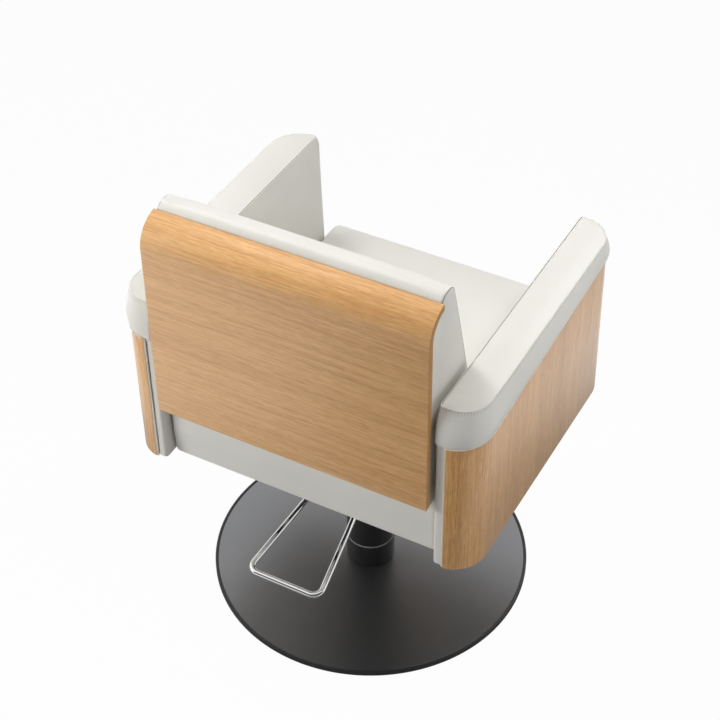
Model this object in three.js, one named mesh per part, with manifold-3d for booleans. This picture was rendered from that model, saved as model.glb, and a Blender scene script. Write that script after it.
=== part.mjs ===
// A hydraulic hairdressing chair. Lengths are millimetres, Z is up, the floor is z = 0,
// the column stands on the Z axis, the sitter faces -Y and the sitter's left is +X.
import * as THREE from 'three';
import { mergeVertices } from 'three/addons/utils/BufferGeometryUtils.js';
import Module from 'manifold-3d';

const wasm = await Module();
wasm.setup();

// Driving dimensions of the whole chair
const undersideHeight = 368;
const armHeight = 343;
const armOuterFace = 330;
const armThickness = 71;
const armLength = 560;
const panelOuterFace = 280;
const armRearSetback = 11;

// Clearances and cutting
const contactGap = 0.3;
const runningGap = 0.3;
const seatSideGap = 2;
const backSideGap = 5.5;
const cutOverrun = 20;

// Base disc, collar and glide ring
const discRadius = 300;
const discThickness = 10;
const discEdgeChamfer = 2;
const rimWidth = 9;
const rimHeight = 12;
const rimStep = 1.5;
const collarRadius = 45.9;
const collarHeight = 52;
const collarChamfer = 1;
const collarCavityHeight = 32;
const glideRingHeight = 3;
const glideRingInset = 0.4;
const screwCircleRadius = 40.2;
const screwHeadRadius = 6.5;
const screwHeadHeight = 5;
const screwHeadSink = 1.4;
const screwShankRadius = 4;
const screwGrip = 18;
const collarScrewCount = 4;

// Ram, bearing and seal
const ramRadius = 25;
const ramFlangeRadius = 33;
const ramFlangeHeight = 8;
const ramTopClearance = 11.5;
const bearingBore = 21;
const bearingHeight = 7;
const sealRadialDepth = 4.4;
const sealHeight = 10;
const sealSetback = 1;
const sealGrooveDepth = 2.5;

// Pump barrel, sleeve and guide bush
const barrelRadius = 36;
const barrelWall = 6;
const bushHeight = 14;
const bushSetback = 6;
const sleeveRadius = 45.2;
const sleeveWall = 3.5;

// Pump head with its lugs and plunger boss
const headRadius = 50;
const headHeight = 80;
const headChamfer = 6;
const spigotRadius = 25;
const spigotHeight = 27;
const pivotReach = 64;
const pivotRise = 30.6;
const lugRadius = 15;
const lugOuterFace = 31;
const leverHalfWidth = 9;
const leverSlotRadius = 14;
const bossRadius = 13;
const bossHeight = 31;
const bossTopDrop = 13.4;
const bossFloor = 6;
const webHalfWidth = 12;
const webDepth = 24;

// Pedal, pin, lever, plunger and spring
const pedalBarRadius = 5.5;
const pedalRootHalfWidth = 36.6;
const pedalEndHalfWidth = 71;
const pedalLength = 253;
const pedalDrop = 51;
const pedalCornerRadius = 16;
const pedalEyeRadius = 10;
const pedalEyeShoulder = 7;
const pinRadius = 5;
const pinHeadRadius = 8;
const pinHeadThickness = 3;
const leverHubRadius = 10.5;
const leverReach = 24;
const leverNoseDrop = 4;
const leverNoseRadius = 6;
const plungerHeadRadius = 9;
const plungerHeadHeight = 5.7;
const plungerStemRadius = 4;
const plungerStemLength = 44;
const springWireRadius = 1.2;
const springCoilRadius = 6.6;
const springTurns = 6;
const leastSpringGap = 0.4;

// Seat plate, cross bars, seat board and their bolts
const plateHalfWidth = 90;
const plateThickness = 8;
const plateBoltInset = 18;
const hubHeight = 30;
const hubWall = 9;
const crossBarWidth = 40;
const crossBarThickness = 6;
const crossBarSetback = 21;
const frontBarInset = 91;
const rearBarInset = 82;
const boardThickness = 26;
const boardSideInset = 22;
const boardFrontInset = 29;
const boardRearInset = 26;
const boltHeadRadius = 7.5;
const boltHeadHeight = 5.5;
const boltShankRadius = 4;
const boltGrip = 20;
const boardBoltPlace = 150;

// Seat cushion
const seatThickness = 115;
const seatLength = 601;
const seatRearSetback = 32;
const seatFrontDraw = 13;
const seatRearDraw = 11;
const seatBellyRise = 59;
const seatFrontRadius = 30;
const seatRearRadius = 22;
const seatToeRadius = 13;
const seatBellyRadius = 55;
const seatSideRadius = 9;
const seatCrown = 9;

// Back panel, frame and uprights
const panelThickness = 12;
const panelLift = 15;
const panelStraightHeight = 338;
const panelRollRadius = 52;
const panelRollAngle = 84;
const panelRollOverlap = 2;
const uprightWidth = 40;
const uprightThickness = 6;
const uprightPlace = 150;
const uprightTopDrop = 76;
const uprightDrop = 0.5;
const uprightBoltSpacing = 20;
const backFrameSideInset = 38.5;
const backFrameBottomInset = 22;
const backFrameTopInset = 36;

// Back cushion
const backSideInset = 3.5;
const backTopRise = 9;
const backCushionLift = 4;
const backFootDepth = 196;
const backTopDepth = 85;
const backTopRadius = 17;
const backFootRadius = 20;
const backHeelRadius = 10;
const backLipRadius = 7;
const backLipStep = 1.2;
const backSideRadius = 6;
const backCrown = 7;

// Arms: bent shell, core and upholstery
const armCornerRadius = 58;
const armFrontCornerRadius = 62;
const shellThickness = 12;
const padDepthRear = 71;
const padDepthFront = 29;
const liningThickness = 18.2;
const liningEdgeRadius = 7;
const liningToeInset = 2.5;
const padInnerEdgeRadius = 7;
const padOverhang = 6.5;
const padInnerDraw = 3;
const padRearDraw = 11;
const padFrontDraw = 3;
const padTopInset = 25;
const cornerSpare = 1;
const padCrown = 4.5;
const padSeamShare = 0.4;

// Round shapes are drawn with these numbers of flats
const discSegments = 64;
const tubeSegments = 36;
const smallSegments = 12;
const barSides = 12;
const cornerSteps = 5;
const flatShares = [-1, -2 / 3, -1 / 3, 0, 1 / 3, 2 / 3, 1];
const springStepsPerTurn = 8;
const springSides = 5;

// Heights that follow from the sizes above
const collarBottom = discThickness + contactGap;
const collarTop = collarBottom + collarHeight;
const glideRingBottom = collarTop + contactGap;
const glideRingTop = glideRingBottom + glideRingHeight;
const sleeveBottom = glideRingTop + contactGap;
const plateTop = undersideHeight - contactGap;
const plateBottom = plateTop - plateThickness;
const hubBottom = plateBottom - hubHeight;
const headTop = hubBottom - contactGap;
const headBottom = headTop - headHeight;
const barrelTop = headBottom - contactGap;
const bearingTop = collarBottom + bearingHeight;
const ramBottom = bearingTop + contactGap;
const ramTop = barrelTop - ramTopClearance;
const pivotHeight = headBottom + pivotRise;
const plungerTop = pivotHeight - leverNoseDrop - leverNoseRadius - contactGap;
const bossTop = headBottom - bossTopDrop;
const bossBottom = bossTop - bossHeight;
const boardBottom = undersideHeight;
const boardTop = boardBottom + boardThickness;
const seatEdgeHeight = undersideHeight + seatThickness;
const seatBellyHeight = undersideHeight + seatBellyRise;
const armTop = undersideHeight + armHeight;
const woodTopRear = armTop - padDepthRear;
const woodTopFront = armTop - padDepthFront;
const panelBottom = seatEdgeHeight + panelLift;
const panelRollStart = panelBottom + panelStraightHeight;
const uprightTop = panelRollStart - uprightTopDrop;
const backFrameBottom = panelBottom + backFrameBottomInset;
const backFrameTop = panelRollStart - backFrameTopInset;
const backCushionTop = panelRollStart + panelRollRadius + backTopRise;
const backCushionBottom = seatEdgeHeight + backCushionLift;

const screwSeatHeight = screwHeadSink + screwHeadHeight + contactGap;
const screwTop = screwSeatHeight + screwGrip;
const slotTop = seatEdgeHeight + cutOverrun;

// Sideways places that follow from the sizes above
const armInnerFace = armOuterFace - armThickness;
const seatHalfWidth = armInnerFace - seatSideGap;
const boardHalfWidth = seatHalfWidth - boardSideInset;
const panelHalfWidth = armInnerFace - backSideGap;
const backHalfWidth = panelHalfWidth - backSideInset;
const backFrameHalfWidth = panelHalfWidth - backFrameSideInset;
const liningOuterFace = armInnerFace + liningThickness;
const crossBarHalfLength = armOuterFace - crossBarSetback;

// Places from front to rear that follow from the sizes above
const armRearFace = panelOuterFace - armRearSetback;
const armFrontFace = armRearFace - armLength;
const seatRear = panelOuterFace - seatRearSetback;
const seatFront = seatRear - seatLength;
const seatFrontToe = seatFront + seatFrontDraw;
const seatRearToe = seatRear - seatRearDraw;
const boardFront = seatFront + boardFrontInset;
const boardRear = seatRear - boardRearInset;
const frontBarPlace = armFrontFace + frontBarInset;
const rearBarPlace = boardRear - rearBarInset;
const backFootFront = panelOuterFace - backFootDepth;
const backFrontAtTop = panelOuterFace - backTopDepth;
const panelInnerFace = panelOuterFace - panelThickness;
const panelRollCentre = panelOuterFace - panelRollRadius;
const uprightFront = boardRear + contactGap;
const uprightRear = uprightFront + uprightThickness;
const plungerPlace = pivotReach + leverReach;
const webFront = sleeveRadius + contactGap;

// Finishes, one new material for each mesh
const blackPaint = () => new THREE.MeshStandardMaterial({ color: 0x1b1b1d, roughness: 0.45, metalness: 0.4 });
const steel = () => new THREE.MeshStandardMaterial({ color: 0x8b8f94, roughness: 0.4, metalness: 0.9 });
const chrome = () => new THREE.MeshStandardMaterial({ color: 0xd8dadd, roughness: 0.08, metalness: 1 });
const castIron = () => new THREE.MeshStandardMaterial({ color: 0x2a2b2d, roughness: 0.6, metalness: 0.5 });
const nylon = () => new THREE.MeshStandardMaterial({ color: 0x6f7173, roughness: 0.5, metalness: 0 });
const rubber = () => new THREE.MeshStandardMaterial({ color: 0x151515, roughness: 0.8, metalness: 0 });
const plywood = () => new THREE.MeshStandardMaterial({ color: 0xc79a6b, roughness: 0.5, metalness: 0 });
const timber = () => new THREE.MeshStandardMaterial({ color: 0xb99a72, roughness: 0.8, metalness: 0 });
const leather = () => new THREE.MeshStandardMaterial({ color: 0xd8d6cf, roughness: 0.55, metalness: 0 });

// Turns any geometry into one closed body: shared vertices, no flat triangles, faces outward
function closedBody(source) {
  const bare = source.clone();
  bare.deleteAttribute('normal');
  bare.deleteAttribute('uv');
  const merged = mergeVertices(bare);
  const place = merged.attributes.position;
  const corner = (i) => new THREE.Vector3().fromBufferAttribute(place, i);
  const kept = [];
  let sixVolumes = 0;
  for (let i = 0; i < merged.index.count; i += 3) {
    const [a, b, c] = [0, 1, 2].map((k) => merged.index.getX(i + k));
    if (a === b || b === c || c === a) continue;
    kept.push([a, b, c]);
    sixVolumes += corner(a).dot(corner(b).cross(corner(c)));
  }
  const turned = sixVolumes < 0 ? kept.map(([a, b, c]) => [a, c, b]) : kept;
  const body = new THREE.BufferGeometry();
  body.setAttribute('position', place.clone());
  body.setIndex(turned.flat());
  body.computeVertexNormals();
  return body;
}

function toSolid(geometry) {
  const body = closedBody(geometry);
  return new wasm.Manifold(new wasm.Mesh({
    numProp: 3,
    vertProperties: new Float32Array(body.attributes.position.array),
    triVerts: new Uint32Array(body.index.array),
  }));
}

function toGeometry(solid) {
  const mesh = solid.getMesh();
  const body = new THREE.BufferGeometry();
  body.setAttribute('position', new THREE.BufferAttribute(new Float32Array(mesh.vertProperties), 3));
  body.setIndex(new THREE.BufferAttribute(new Uint32Array(mesh.triVerts), 1));
  body.computeVertexNormals();
  return body;
}

// Joins and cuts closed shapes in the order given
function shaped(base, { add = [], cut = [] }) {
  let solid = toSolid(base);
  for (const piece of add) solid = solid.add(toSolid(piece));
  for (const piece of cut) solid = solid.subtract(toSolid(piece));
  return toGeometry(solid);
}

// A box between two opposite corners
function block(x0, x1, y0, y1, z0, z1) {
  const box = new THREE.BoxGeometry(x1 - x0, y1 - y0, z1 - z0);
  return box.translate((x0 + x1) / 2, (y0 + y1) / 2, (z0 + z1) / 2);
}

// A solid of revolution about Z from pairs of radius and height
function turnedAboutZ(profile, segments) {
  const points = profile.map(([radius, height]) => new THREE.Vector2(radius, height));
  return closedBody(new THREE.LatheGeometry(points, segments).rotateX(Math.PI / 2));
}

// A ring or tube about Z
function ringAboutZ(inner, outer, bottom, top, segments) {
  const section = [[inner, bottom], [outer, bottom], [outer, top], [inner, top], [inner, bottom]];
  return turnedAboutZ(section, segments);
}

// A solid rod about Z
function rodAboutZ(radius, bottom, top, segments) {
  return turnedAboutZ([[0, bottom], [radius, bottom], [radius, top], [0, top]], segments);
}

// A rod along X, centred on the given height and depth
function rodAlongX(radius, from, to, y, z, segments) {
  const rod = new THREE.CylinderGeometry(radius, radius, to - from, segments).rotateZ(Math.PI / 2);
  return rod.translate((from + to) / 2, y, z);
}

// Extrudes a shape drawn in depth and height along X
function extrudedAlongX(shape, from, to, curveSegments) {
  const geometry = new THREE.ExtrudeGeometry(shape, { depth: to - from, bevelEnabled: false, curveSegments });
  const turn = new THREE.Matrix4().makeBasis(
    new THREE.Vector3(0, 1, 0),
    new THREE.Vector3(0, 0, 1),
    new THREE.Vector3(1, 0, 0),
  );
  return geometry.applyMatrix4(turn).translate(from, 0, 0);
}

// Mirrors a left-hand piece to the right-hand side
function mirrored(geometry) {
  return closedBody(geometry.clone().applyMatrix4(new THREE.Matrix4().makeScale(-1, 1, 1)));
}

// Skins a row of rings with the same number of points, and closes both ends round their middles
function loft(rings) {
  const count = rings[0].length;
  const middles = [rings[0], rings[rings.length - 1]].map(middleOf);
  const points = [...rings.flat(), ...middles];
  const faces = [];
  for (let r = 0; r + 1 < rings.length; r += 1) {
    for (let i = 0; i < count; i += 1) {
      const a = r * count + i;
      const b = r * count + ((i + 1) % count);
      faces.push(a, b, b + count, a, b + count, a + count);
    }
  }
  const last = (rings.length - 1) * count;
  for (let i = 0; i < count; i += 1) {
    const next = (i + 1) % count;
    faces.push(next, i, points.length - 2);
    faces.push(last + i, last + next, points.length - 1);
  }
  const skin = new THREE.BufferGeometry();
  skin.setAttribute('position', new THREE.Float32BufferAttribute(points.flatMap((p) => [p.x, p.y, p.z]), 3));
  skin.setIndex(faces);
  return closedBody(skin);
}

function middleOf(ring) {
  const sum = ring.reduce((total, point) => total.add(point), new THREE.Vector3());
  return sum.divideScalar(ring.length);
}

// Rounds the corners of a closed outline; each corner is [u, v, radius, points along the next side]
function roundedLoop(corners, steps) {
  const loop = [];
  corners.forEach(([u, v, radius, sidePoints = 0], i) => {
    const here = new THREE.Vector2(u, v);
    const [pu, pv] = corners[(i + corners.length - 1) % corners.length];
    const [nu, nv, nextRadius] = corners[(i + 1) % corners.length];
    const back = new THREE.Vector2(pu, pv).sub(here).normalize();
    const ahead = new THREE.Vector2(nu, nv).sub(here).normalize();
    if (radius === 0) {
      loop.push(here);
    } else {
      const half = Math.acos(THREE.MathUtils.clamp(back.dot(ahead), -1, 1)) / 2;
      const reach = radius / Math.tan(half);
      const start = here.clone().addScaledVector(back, reach);
      const end = here.clone().addScaledVector(ahead, reach);
      const bisector = back.clone().add(ahead).normalize();
      const centre = here.clone().addScaledVector(bisector, radius / Math.sin(half));
      const turn = signedAngle(start.clone().sub(centre), end.clone().sub(centre));
      for (let k = 0; k <= steps; k += 1) {
        loop.push(start.clone().rotateAround(centre, (turn * k) / steps));
      }
    }
    const from = loop[loop.length - 1];
    const to = sideEnd(corners, (i + 1) % corners.length, nextRadius);
    for (let k = 1; k <= sidePoints; k += 1) loop.push(from.clone().lerp(to, k / (sidePoints + 1)));
  });
  return loop;
}

function signedAngle(from, to) {
  return Math.atan2(from.x * to.y - from.y * to.x, from.dot(to));
}

// Where the rounding of a corner begins
function sideEnd(corners, i, radius) {
  const [u, v] = corners[i];
  const here = new THREE.Vector2(u, v);
  if (radius === 0) return here;
  const [pu, pv] = corners[(i + corners.length - 1) % corners.length];
  const [nu, nv] = corners[(i + 1) % corners.length];
  const back = new THREE.Vector2(pu, pv).sub(here).normalize();
  const ahead = new THREE.Vector2(nu, nv).sub(here).normalize();
  const half = Math.acos(THREE.MathUtils.clamp(back.dot(ahead), -1, 1)) / 2;
  return here.addScaledVector(back, radius / Math.tan(half));
}

// Moves each point of an outline inward, square to the outline
function insetLoop(loop, distance) {
  const area = THREE.ShapeUtils.area(loop);
  return loop.map((point, i) => {
    const before = loop[(i + loop.length - 1) % loop.length];
    const after = loop[(i + 1) % loop.length];
    const along = after.clone().sub(before).normalize();
    const inward = new THREE.Vector2(-along.y, along.x).multiplyScalar(Math.sign(area));
    return point.clone().addScaledVector(inward, distance);
  });
}

// A round bar along a path with rounded corners
function bentBar(corners, cornerRadius, radius, sides) {
  const path = [corners[0]];
  for (let i = 1; i + 1 < corners.length; i += 1) {
    path.push(...roundedCorner(corners[i - 1], corners[i], corners[i + 1], cornerRadius));
  }
  path.push(corners[corners.length - 1]);
  return sweptTube(path, radius, sides);
}

function roundedCorner(before, corner, after, radius) {
  const back = before.clone().sub(corner).normalize();
  const ahead = after.clone().sub(corner).normalize();
  const half = back.angleTo(ahead) / 2;
  const centre = corner.clone().addScaledVector(back.clone().add(ahead).normalize(), radius / Math.sin(half));
  const start = corner.clone().addScaledVector(back, radius / Math.tan(half)).sub(centre);
  const end = corner.clone().addScaledVector(ahead, radius / Math.tan(half)).sub(centre);
  const axis = start.clone().cross(end).normalize();
  const turn = start.angleTo(end);
  const steps = Array.from({ length: cornerSteps + 1 }, (_, k) => (turn * k) / cornerSteps);
  return steps.map((angle) => start.clone().applyAxisAngle(axis, angle).add(centre));
}

// A tube through a row of points, with its rings square to the path
function sweptTube(path, radius, sides) {
  const tangents = path.map((_, i) => {
    const before = path[Math.max(i - 1, 0)];
    const after = path[Math.min(i + 1, path.length - 1)];
    return after.clone().sub(before).normalize();
  });
  const upright = new THREE.Vector3(0, 0, 1);
  let side = upright.clone().cross(tangents[0]).normalize();
  const rings = path.map((point, i) => {
    side = side.addScaledVector(tangents[i], -side.dot(tangents[i])).normalize();
    const up = tangents[i].clone().cross(side);
    return Array.from({ length: sides }, (_, k) => {
      const angle = (2 * Math.PI * k) / sides;
      const spoke = side.clone().multiplyScalar(Math.cos(angle)).addScaledVector(up, Math.sin(angle));
      return point.clone().addScaledVector(spoke, radius);
    });
  });
  return loft(rings);
}

// A cap screw or bolt standing on its head, from its head's underside at the given height
function bolt(headRadius, headHeight, shankRadius, headBottom, shankTop) {
  const headTopHeight = headBottom + headHeight;
  return turnedAboutZ([
    [0, headBottom], [headRadius, headBottom], [headRadius, headTopHeight],
    [shankRadius, headTopHeight], [shankRadius, shankTop], [0, shankTop],
  ], smallSegments);
}

const chair = new THREE.Group();

function addPiece(name, geometry, material) {
  const mesh = new THREE.Mesh(geometry, material);
  mesh.name = name;
  chair.add(mesh);
}

// Alike pieces, numbered from 1
function addAlike(name, geometries, finish) {
  geometries.forEach((geometry, i) => addPiece(`${name}_${i + 1}`, geometry, finish()));
}

// Base: disc, collar, screws, bearing and glide ring
const screwPlaces = Array.from({ length: collarScrewCount }, (_, i) => {
  const angle = (2 * Math.PI * (i + 1 / 2)) / collarScrewCount;
  return [screwCircleRadius * Math.cos(angle), screwCircleRadius * Math.sin(angle)];
});

function baseDisc() {
  const plain = turnedAboutZ([
    [0, 0], [discRadius - discEdgeChamfer, 0], [discRadius, discEdgeChamfer],
    [discRadius, rimHeight - discEdgeChamfer], [discRadius - discEdgeChamfer, rimHeight],
    [discRadius - rimWidth + rimStep, rimHeight], [discRadius - rimWidth, discThickness], [0, discThickness],
  ], discSegments);
  const cut = screwPlaces.flatMap(([x, y]) => [
    rodAboutZ(screwHeadRadius + contactGap, -cutOverrun, screwSeatHeight, smallSegments).translate(x, y, 0),
    rodAboutZ(screwShankRadius + contactGap, 0, rimHeight + cutOverrun, smallSegments).translate(x, y, 0),
  ]);
  return shaped(plain, { cut });
}

function baseCollar() {
  const cavity = ramFlangeRadius + runningGap;
  const neck = ramRadius + runningGap;
  const cavityTop = collarBottom + collarCavityHeight;
  const plain = turnedAboutZ([
    [cavity, collarBottom], [collarRadius, collarBottom], [collarRadius, collarTop - collarChamfer],
    [collarRadius - collarChamfer, collarTop], [neck, collarTop], [neck, cavityTop],
    [cavity, cavityTop], [cavity, collarBottom],
  ], tubeSegments);
  const cut = screwPlaces.map(([x, y]) => (
    rodAboutZ(screwShankRadius + contactGap, 0, screwTop + contactGap, smallSegments).translate(x, y, 0)
  ));
  return shaped(plain, { cut });
}

addPiece('base_disc', baseDisc(), blackPaint());
addPiece('base_collar', baseCollar(), blackPaint());
addPiece('collar_ring', ringAboutZ(
  ramRadius + runningGap, collarRadius - glideRingInset, glideRingBottom, glideRingTop, tubeSegments,
), nylon());
addAlike('collar_screw', screwPlaces.map(([x, y]) => (
  bolt(screwHeadRadius, screwHeadHeight, screwShankRadius, screwHeadSink, screwTop).translate(x, y, 0)
)), steel);
addPiece('thrust_bearing', ringAboutZ(
  bearingBore, ramFlangeRadius, collarBottom, bearingTop, tubeSegments,
), steel());

// Ram: turns in the collar, with its seal near the top
const sealTop = ramTop - sealSetback;
const sealBottom = sealTop - sealHeight;
const grooveRadius = ramRadius - sealGrooveDepth;

addPiece('ram', turnedAboutZ([
  [0, ramBottom], [ramFlangeRadius, ramBottom], [ramFlangeRadius, ramBottom + ramFlangeHeight],
  [ramRadius, ramBottom + ramFlangeHeight], [ramRadius, sealBottom - contactGap],
  [grooveRadius, sealBottom - contactGap], [grooveRadius, sealTop + contactGap],
  [ramRadius, sealTop + contactGap], [ramRadius, ramTop], [0, ramTop],
], tubeSegments), chrome());
addPiece('piston_seal', ringAboutZ(
  grooveRadius + contactGap, ramRadius + sealRadialDepth, sealBottom, sealTop, tubeSegments,
), rubber());

// Pump: barrel, guide bush, sleeve and head
const bushBottom = sleeveBottom + bushSetback;

addPiece('pump_barrel', ringAboutZ(
  barrelRadius - barrelWall, barrelRadius, sleeveBottom, barrelTop, tubeSegments,
), steel());
addPiece('guide_bush', ringAboutZ(
  ramRadius + runningGap, barrelRadius - barrelWall - contactGap, bushBottom, bushBottom + bushHeight,
  tubeSegments,
), nylon());
addPiece('column_sleeve', ringAboutZ(
  sleeveRadius - sleeveWall, sleeveRadius, sleeveBottom, barrelTop, tubeSegments,
), blackPaint());

function pumpHead() {
  const spigotTop = headTop + spigotHeight;
  const barrelMouth = headRadius - headChamfer;
  const casting = turnedAboutZ([
    [0, headBottom], [headRadius, headBottom], [headRadius, headTop - headChamfer],
    [barrelMouth, headTop], [spigotRadius, headTop], [spigotRadius, spigotTop], [0, spigotTop],
  ], tubeSegments);
  const lugs = [
    rodAlongX(lugRadius, -lugOuterFace, lugOuterFace, pivotReach, pivotHeight, smallSegments),
    block(-lugOuterFace, lugOuterFace, 0, pivotReach, pivotHeight - lugRadius, pivotHeight + lugRadius),
  ];
  const web = block(-webHalfWidth, webHalfWidth, webFront, webFront + webDepth, bossBottom, pivotHeight);
  const arm = block(-webHalfWidth, webHalfWidth, webFront, plungerPlace, bossBottom, bossTop);
  const boss = rodAboutZ(bossRadius, bossBottom, bossTop, smallSegments).translate(0, plungerPlace, 0);
  const slotWall = leverHalfWidth + contactGap;
  const slotHub = rodAlongX(leverSlotRadius, -slotWall, slotWall, pivotReach, pivotHeight, smallSegments);
  const slotMouth = block(
    -slotWall, slotWall, pivotReach, pivotReach + cutOverrun,
    pivotHeight - leverSlotRadius, pivotHeight + leverSlotRadius,
  );
  const pinBore = rodAlongX(
    pinRadius + runningGap, -lugOuterFace - cutOverrun, lugOuterFace + cutOverrun,
    pivotReach, pivotHeight, smallSegments,
  );
  const plungerBore = rodAboutZ(
    plungerStemRadius + runningGap, bossBottom + bossFloor, bossTop + cutOverrun, smallSegments,
  ).translate(0, plungerPlace, 0);
  return shaped(casting, { add: [...lugs, web, arm, boss], cut: [slotHub, slotMouth, pinBore, plungerBore] });
}

addPiece('pump_head', pumpHead(), castIron());

// Pedal: bar loop, pin and lever turn together about the pin
function pedalBar() {
  const endReach = pivotReach + pedalLength;
  const endHeight = pivotHeight - pedalDrop;
  const loop = bentBar([
    new THREE.Vector3(-pedalRootHalfWidth, pivotReach, pivotHeight),
    new THREE.Vector3(-pedalEndHalfWidth, endReach, endHeight),
    new THREE.Vector3(pedalEndHalfWidth, endReach, endHeight),
    new THREE.Vector3(pedalRootHalfWidth, pivotReach, pivotHeight),
  ], pedalCornerRadius, pedalBarRadius, barSides);
  const eye = rodAlongX(
    pedalEyeRadius, pedalRootHalfWidth - pedalBarRadius, pedalRootHalfWidth + pedalEyeShoulder,
    pivotReach, pivotHeight, tubeSegments / 2,
  );
  const bore = rodAlongX(
    pinRadius + contactGap, -pedalEndHalfWidth, pedalEndHalfWidth, pivotReach, pivotHeight, smallSegments,
  );
  return shaped(loop, { add: [eye, mirrored(eye)], cut: [bore] });
}

function pedalPin() {
  const headStart = pedalRootHalfWidth + pedalEyeShoulder + contactGap;
  const rod = rodAlongX(
    pinRadius, -headStart - pinHeadThickness, headStart + pinHeadThickness,
    pivotReach, pivotHeight, smallSegments,
  );
  const head = rodAlongX(
    pinHeadRadius, headStart, headStart + pinHeadThickness, pivotReach, pivotHeight, smallSegments,
  );
  return shaped(rod, { add: [head, mirrored(head)] });
}

function pedalLever() {
  const noseReach = pivotReach + leverReach;
  const noseHeight = pivotHeight - leverNoseDrop;
  const hub = rodAlongX(
    leverHubRadius, -leverHalfWidth, leverHalfWidth, pivotReach, pivotHeight, tubeSegments / 2,
  );
  const nose = rodAlongX(
    leverNoseRadius, -leverHalfWidth, leverHalfWidth, noseReach, noseHeight, smallSegments,
  );
  const neck = new THREE.Shape([
    new THREE.Vector2(pivotReach, pivotHeight + leverHubRadius),
    new THREE.Vector2(pivotReach, pivotHeight - leverHubRadius),
    new THREE.Vector2(noseReach, noseHeight - leverNoseRadius),
    new THREE.Vector2(noseReach, noseHeight + leverNoseRadius),
  ]);
  const bore = rodAlongX(
    pinRadius + contactGap, -lugOuterFace, lugOuterFace, pivotReach, pivotHeight, smallSegments,
  );
  const web = extrudedAlongX(neck, -leverHalfWidth, leverHalfWidth, 1);
  return shaped(hub, { add: [nose, web], cut: [bore] });
}

addPiece('pedal_bar', pedalBar(), chrome());
addPiece('pedal_pin', pedalPin(), steel());
addPiece('pedal_lever', pedalLever(), castIron());

// Plunger and the spring that lifts it
const plungerHeadBottom = plungerTop - plungerHeadHeight;

addPiece('pump_plunger', turnedAboutZ([
  [0, plungerHeadBottom - plungerStemLength], [plungerStemRadius, plungerHeadBottom - plungerStemLength],
  [plungerStemRadius, plungerHeadBottom], [plungerHeadRadius, plungerHeadBottom],
  [plungerHeadRadius, plungerTop], [0, plungerTop],
], smallSegments).translate(0, plungerPlace, 0), steel());

// The spring is one helix between the boss and the plunger's head
function plungerSpring() {
  const bottom = bossTop + contactGap + springWireRadius;
  const top = plungerHeadBottom - contactGap - springWireRadius;
  const steps = springTurns * springStepsPerTurn;
  const path = Array.from({ length: steps + 1 }, (_, i) => {
    const angle = (2 * Math.PI * i) / springStepsPerTurn;
    return new THREE.Vector3(
      springCoilRadius * Math.cos(angle),
      plungerPlace + springCoilRadius * Math.sin(angle),
      bottom + ((top - bottom) * i) / steps,
    );
  });
  const gap = leastGapToItself(path, springStepsPerTurn / 2) - 2 * springWireRadius;
  console.log(`plunger spring: least gap between turns ${gap.toFixed(2)} mm, over ${leastSpringGap}`);
  return sweptTube(path, springWireRadius, springSides);
}

// The least distance between points of a path that lie more than the given steps apart
function leastGapToItself(path, apart) {
  let least = Infinity;
  for (let i = 0; i < path.length; i += 1) {
    for (let k = i + apart; k < path.length; k += 1) least = Math.min(least, path[i].distanceTo(path[k]));
  }
  return least;
}

addPiece('plunger_spring', plungerSpring(), steel());

// Seat plate, cross bars and seat board, with bolts from below
const plateBoltPlaces = [-1, 1].flatMap((sx) => [-1, 1].map((sy) => (
  [sx * (plateHalfWidth - plateBoltInset), sy * (plateHalfWidth - plateBoltInset)]
)));
const armBoltPlace = (liningOuterFace + armOuterFace - shellThickness) / 2;
const barBoltPlaces = (barPlace) => [-armBoltPlace, -boardBoltPlace, boardBoltPlace, armBoltPlace].map(
  (x) => [x, barPlace],
);
const allBarBolts = [...barBoltPlaces(frontBarPlace), ...barBoltPlaces(rearBarPlace)];
const boltHoles = (places) => places.map(([x, y]) => rodAboutZ(
  boltShankRadius + contactGap, plateBottom - cutOverrun, undersideHeight + boltGrip + contactGap,
  smallSegments,
).translate(x, y, 0));
const boltsBelow = (places, faceHeight) => places.map(([x, y]) => bolt(
  boltHeadRadius, boltHeadHeight, boltShankRadius, faceHeight - contactGap - boltHeadHeight,
  undersideHeight + boltGrip,
).translate(x, y, 0));

function seatPlate() {
  const half = plateHalfWidth;
  const plate = block(-half, half, -half, half, plateBottom, plateTop);
  const bore = spigotRadius + contactGap;
  const hub = ringAboutZ(bore, bore + hubWall, hubBottom, plateBottom + plateThickness / 2, tubeSegments);
  return shaped(plate, { add: [hub], cut: boltHoles(plateBoltPlaces) });
}

function crossBar(place) {
  const bar = block(
    -crossBarHalfLength, crossBarHalfLength, place - crossBarWidth / 2, place + crossBarWidth / 2,
    plateTop - crossBarThickness, plateTop,
  );
  return shaped(bar, { cut: boltHoles(barBoltPlaces(place)) });
}

const uprightBoltHeight = boardBottom + boardThickness / 2;
const uprightBoltPlaces = [-1, 1].flatMap((side) => [-1, 1].map((end) => (
  side * uprightPlace + (end * uprightBoltSpacing) / 2
)));
const alongY = (geometry, x, z) => geometry.rotateX(Math.PI / 2).translate(x, 0, z);
const uprightHoles = () => uprightBoltPlaces.map((x) => alongY(
  rodAboutZ(
    boltShankRadius + contactGap, -uprightRear - cutOverrun, -boardRear + boltGrip + contactGap,
    smallSegments,
  ), x, uprightBoltHeight,
));

function seatBoard() {
  const board = block(-boardHalfWidth, boardHalfWidth, boardFront, boardRear, boardBottom, boardTop);
  return shaped(board, { cut: [...boltHoles([...plateBoltPlaces, ...allBarBolts]), ...uprightHoles()] });
}

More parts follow.
